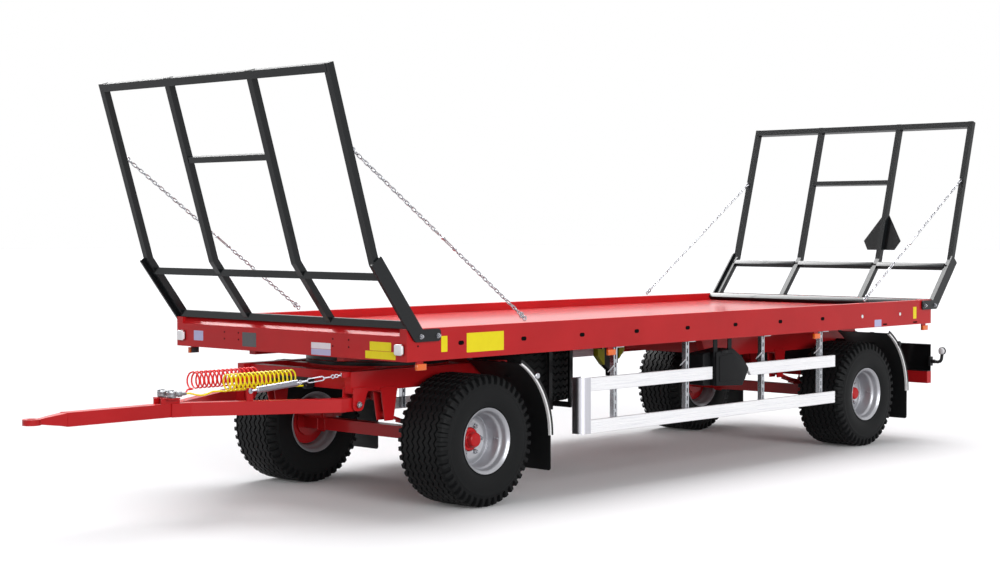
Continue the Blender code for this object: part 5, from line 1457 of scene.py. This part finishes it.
# %% [markdown]
# The studio: a white floor that reaches the horizon, a soft sky and three broad lamps, the
# strongest from the right, so that the long side is brighter than the front, as in the
# photograph. Only reflections see a soft box in the sky, high behind the trailer on the
# left, which draws bright lines on folds and bars. The floor keeps the shadow but lends
# little light to the underside.

# %% Floor, sky and lamps
FLOOR_REACH = 120
FLOOR_LIFT = 0.02
SKY_FILL = 0.39
SOFT_BOX = (-0.70, 0.05, 0.712)
SOFT_BOX_STRENGTH = 14.0
SOFT_BOX_INNER, SOFT_BOX_OUTER = math.radians(22), math.radians(30)

floor_mesh = bpy.data.meshes.new("floor")
corners = rectangle(-FLOOR_REACH, FLOOR_REACH, -FLOOR_REACH, FLOOR_REACH)
floor_mesh.from_pydata([(x, y, 0) for x, y in corners], [], [(0, 1, 2, 3)])


def direct_rays(tree):
    """Outputs of the light path, and 1 for camera and glossy rays, 0 for the others."""
    rays = add(tree, "ShaderNodeLightPath").outputs
    seen = add(tree, "ShaderNodeMath", {0: rays["Is Camera Ray"], 1: rays["Is Glossy Ray"]},
               operation="MAXIMUM")
    return rays, seen.outputs[0]


floor = bpy.data.objects.new("floor", floor_mesh)
bpy.context.scene.collection.objects.link(floor)
floor_finish = bpy.data.materials.new("studio_floor")
floor_finish.use_nodes = True
tree = floor_finish.node_tree
tree.nodes.clear()
rays, seen = direct_rays(tree)
bounce = add(tree, "ShaderNodeBsdfDiffuse", {"Color": linear("#8C8C8E")})
pale = add(tree, "ShaderNodeBsdfDiffuse", {"Color": linear("#F4F4F6")})
lift = add(tree, "ShaderNodeEmission", {"Color": (1, 1, 1, 1), "Strength": FLOOR_LIFT})
lifted = add(tree, "ShaderNodeAddShader", {0: pale.outputs[0], 1: lift.outputs[0]})
mixed = add(tree, "ShaderNodeMixShader", {0: seen, 1: bounce.outputs[0], 2: lifted.outputs[0]})
add(tree, "ShaderNodeOutputMaterial", {"Surface": mixed.outputs[0]})
floor_mesh.materials.append(floor_finish)

world = bpy.data.worlds.new("studio")
bpy.context.scene.world = world
world.use_nodes = True
tree = world.node_tree
tree.nodes.clear()
rays, seen = direct_rays(tree)
strength = add(tree, "ShaderNodeMapRange", {"Value": seen, "To Min": SKY_FILL, "To Max": 1.0})
heading = add(tree, "ShaderNodeTexCoord").outputs["Generated"]
toward = add(tree, "ShaderNodeVectorMath", {0: heading, 1: SOFT_BOX}, operation="DOT_PRODUCT")
disc = add(tree, "ShaderNodeMapRange", {
    "Value": toward.outputs["Value"], "From Min": math.cos(SOFT_BOX_OUTER),
    "From Max": math.cos(SOFT_BOX_INNER), "To Max": SOFT_BOX_STRENGTH},
    interpolation_type="SMOOTHSTEP")
shown = add(tree, "ShaderNodeMath", {0: disc.outputs[0], 1: rays["Is Glossy Ray"]},
            operation="MULTIPLY")
total = add(tree, "ShaderNodeMath", {0: strength.outputs[0], 1: shown.outputs[0]}, operation="ADD")
sky = add(tree, "ShaderNodeBackground", {"Color": (1, 1, 1, 1), "Strength": total.outputs[0]})
add(tree, "ShaderNodeOutputWorld", {"Surface": sky.outputs[0]})


def sun(name, strength, angle, heading, height):
    """Distant soft lamp that shines from a heading (degrees from +X towards +Y) and height."""
    lamp = bpy.data.lights.new(name, "SUN")
    lamp.energy = strength
    lamp.angle = math.radians(angle)
    holder = bpy.data.objects.new(name, lamp)
    bpy.context.scene.collection.objects.link(holder)
    h, e = math.radians(heading), math.radians(height)
    toward = Vector((math.cos(h) * math.cos(e), math.sin(h) * math.cos(e), math.sin(e)))
    holder.rotation_euler = toward.to_track_quat("Z", "Y").to_euler()


sun("key", 2.25, 40, -20, 14)
sun("fill", 0.5, 50, -110, 16)
sun("overhead", 2.2, 50, 128, 66)
bpy.context.scene.view_settings.view_transform = "Standard"
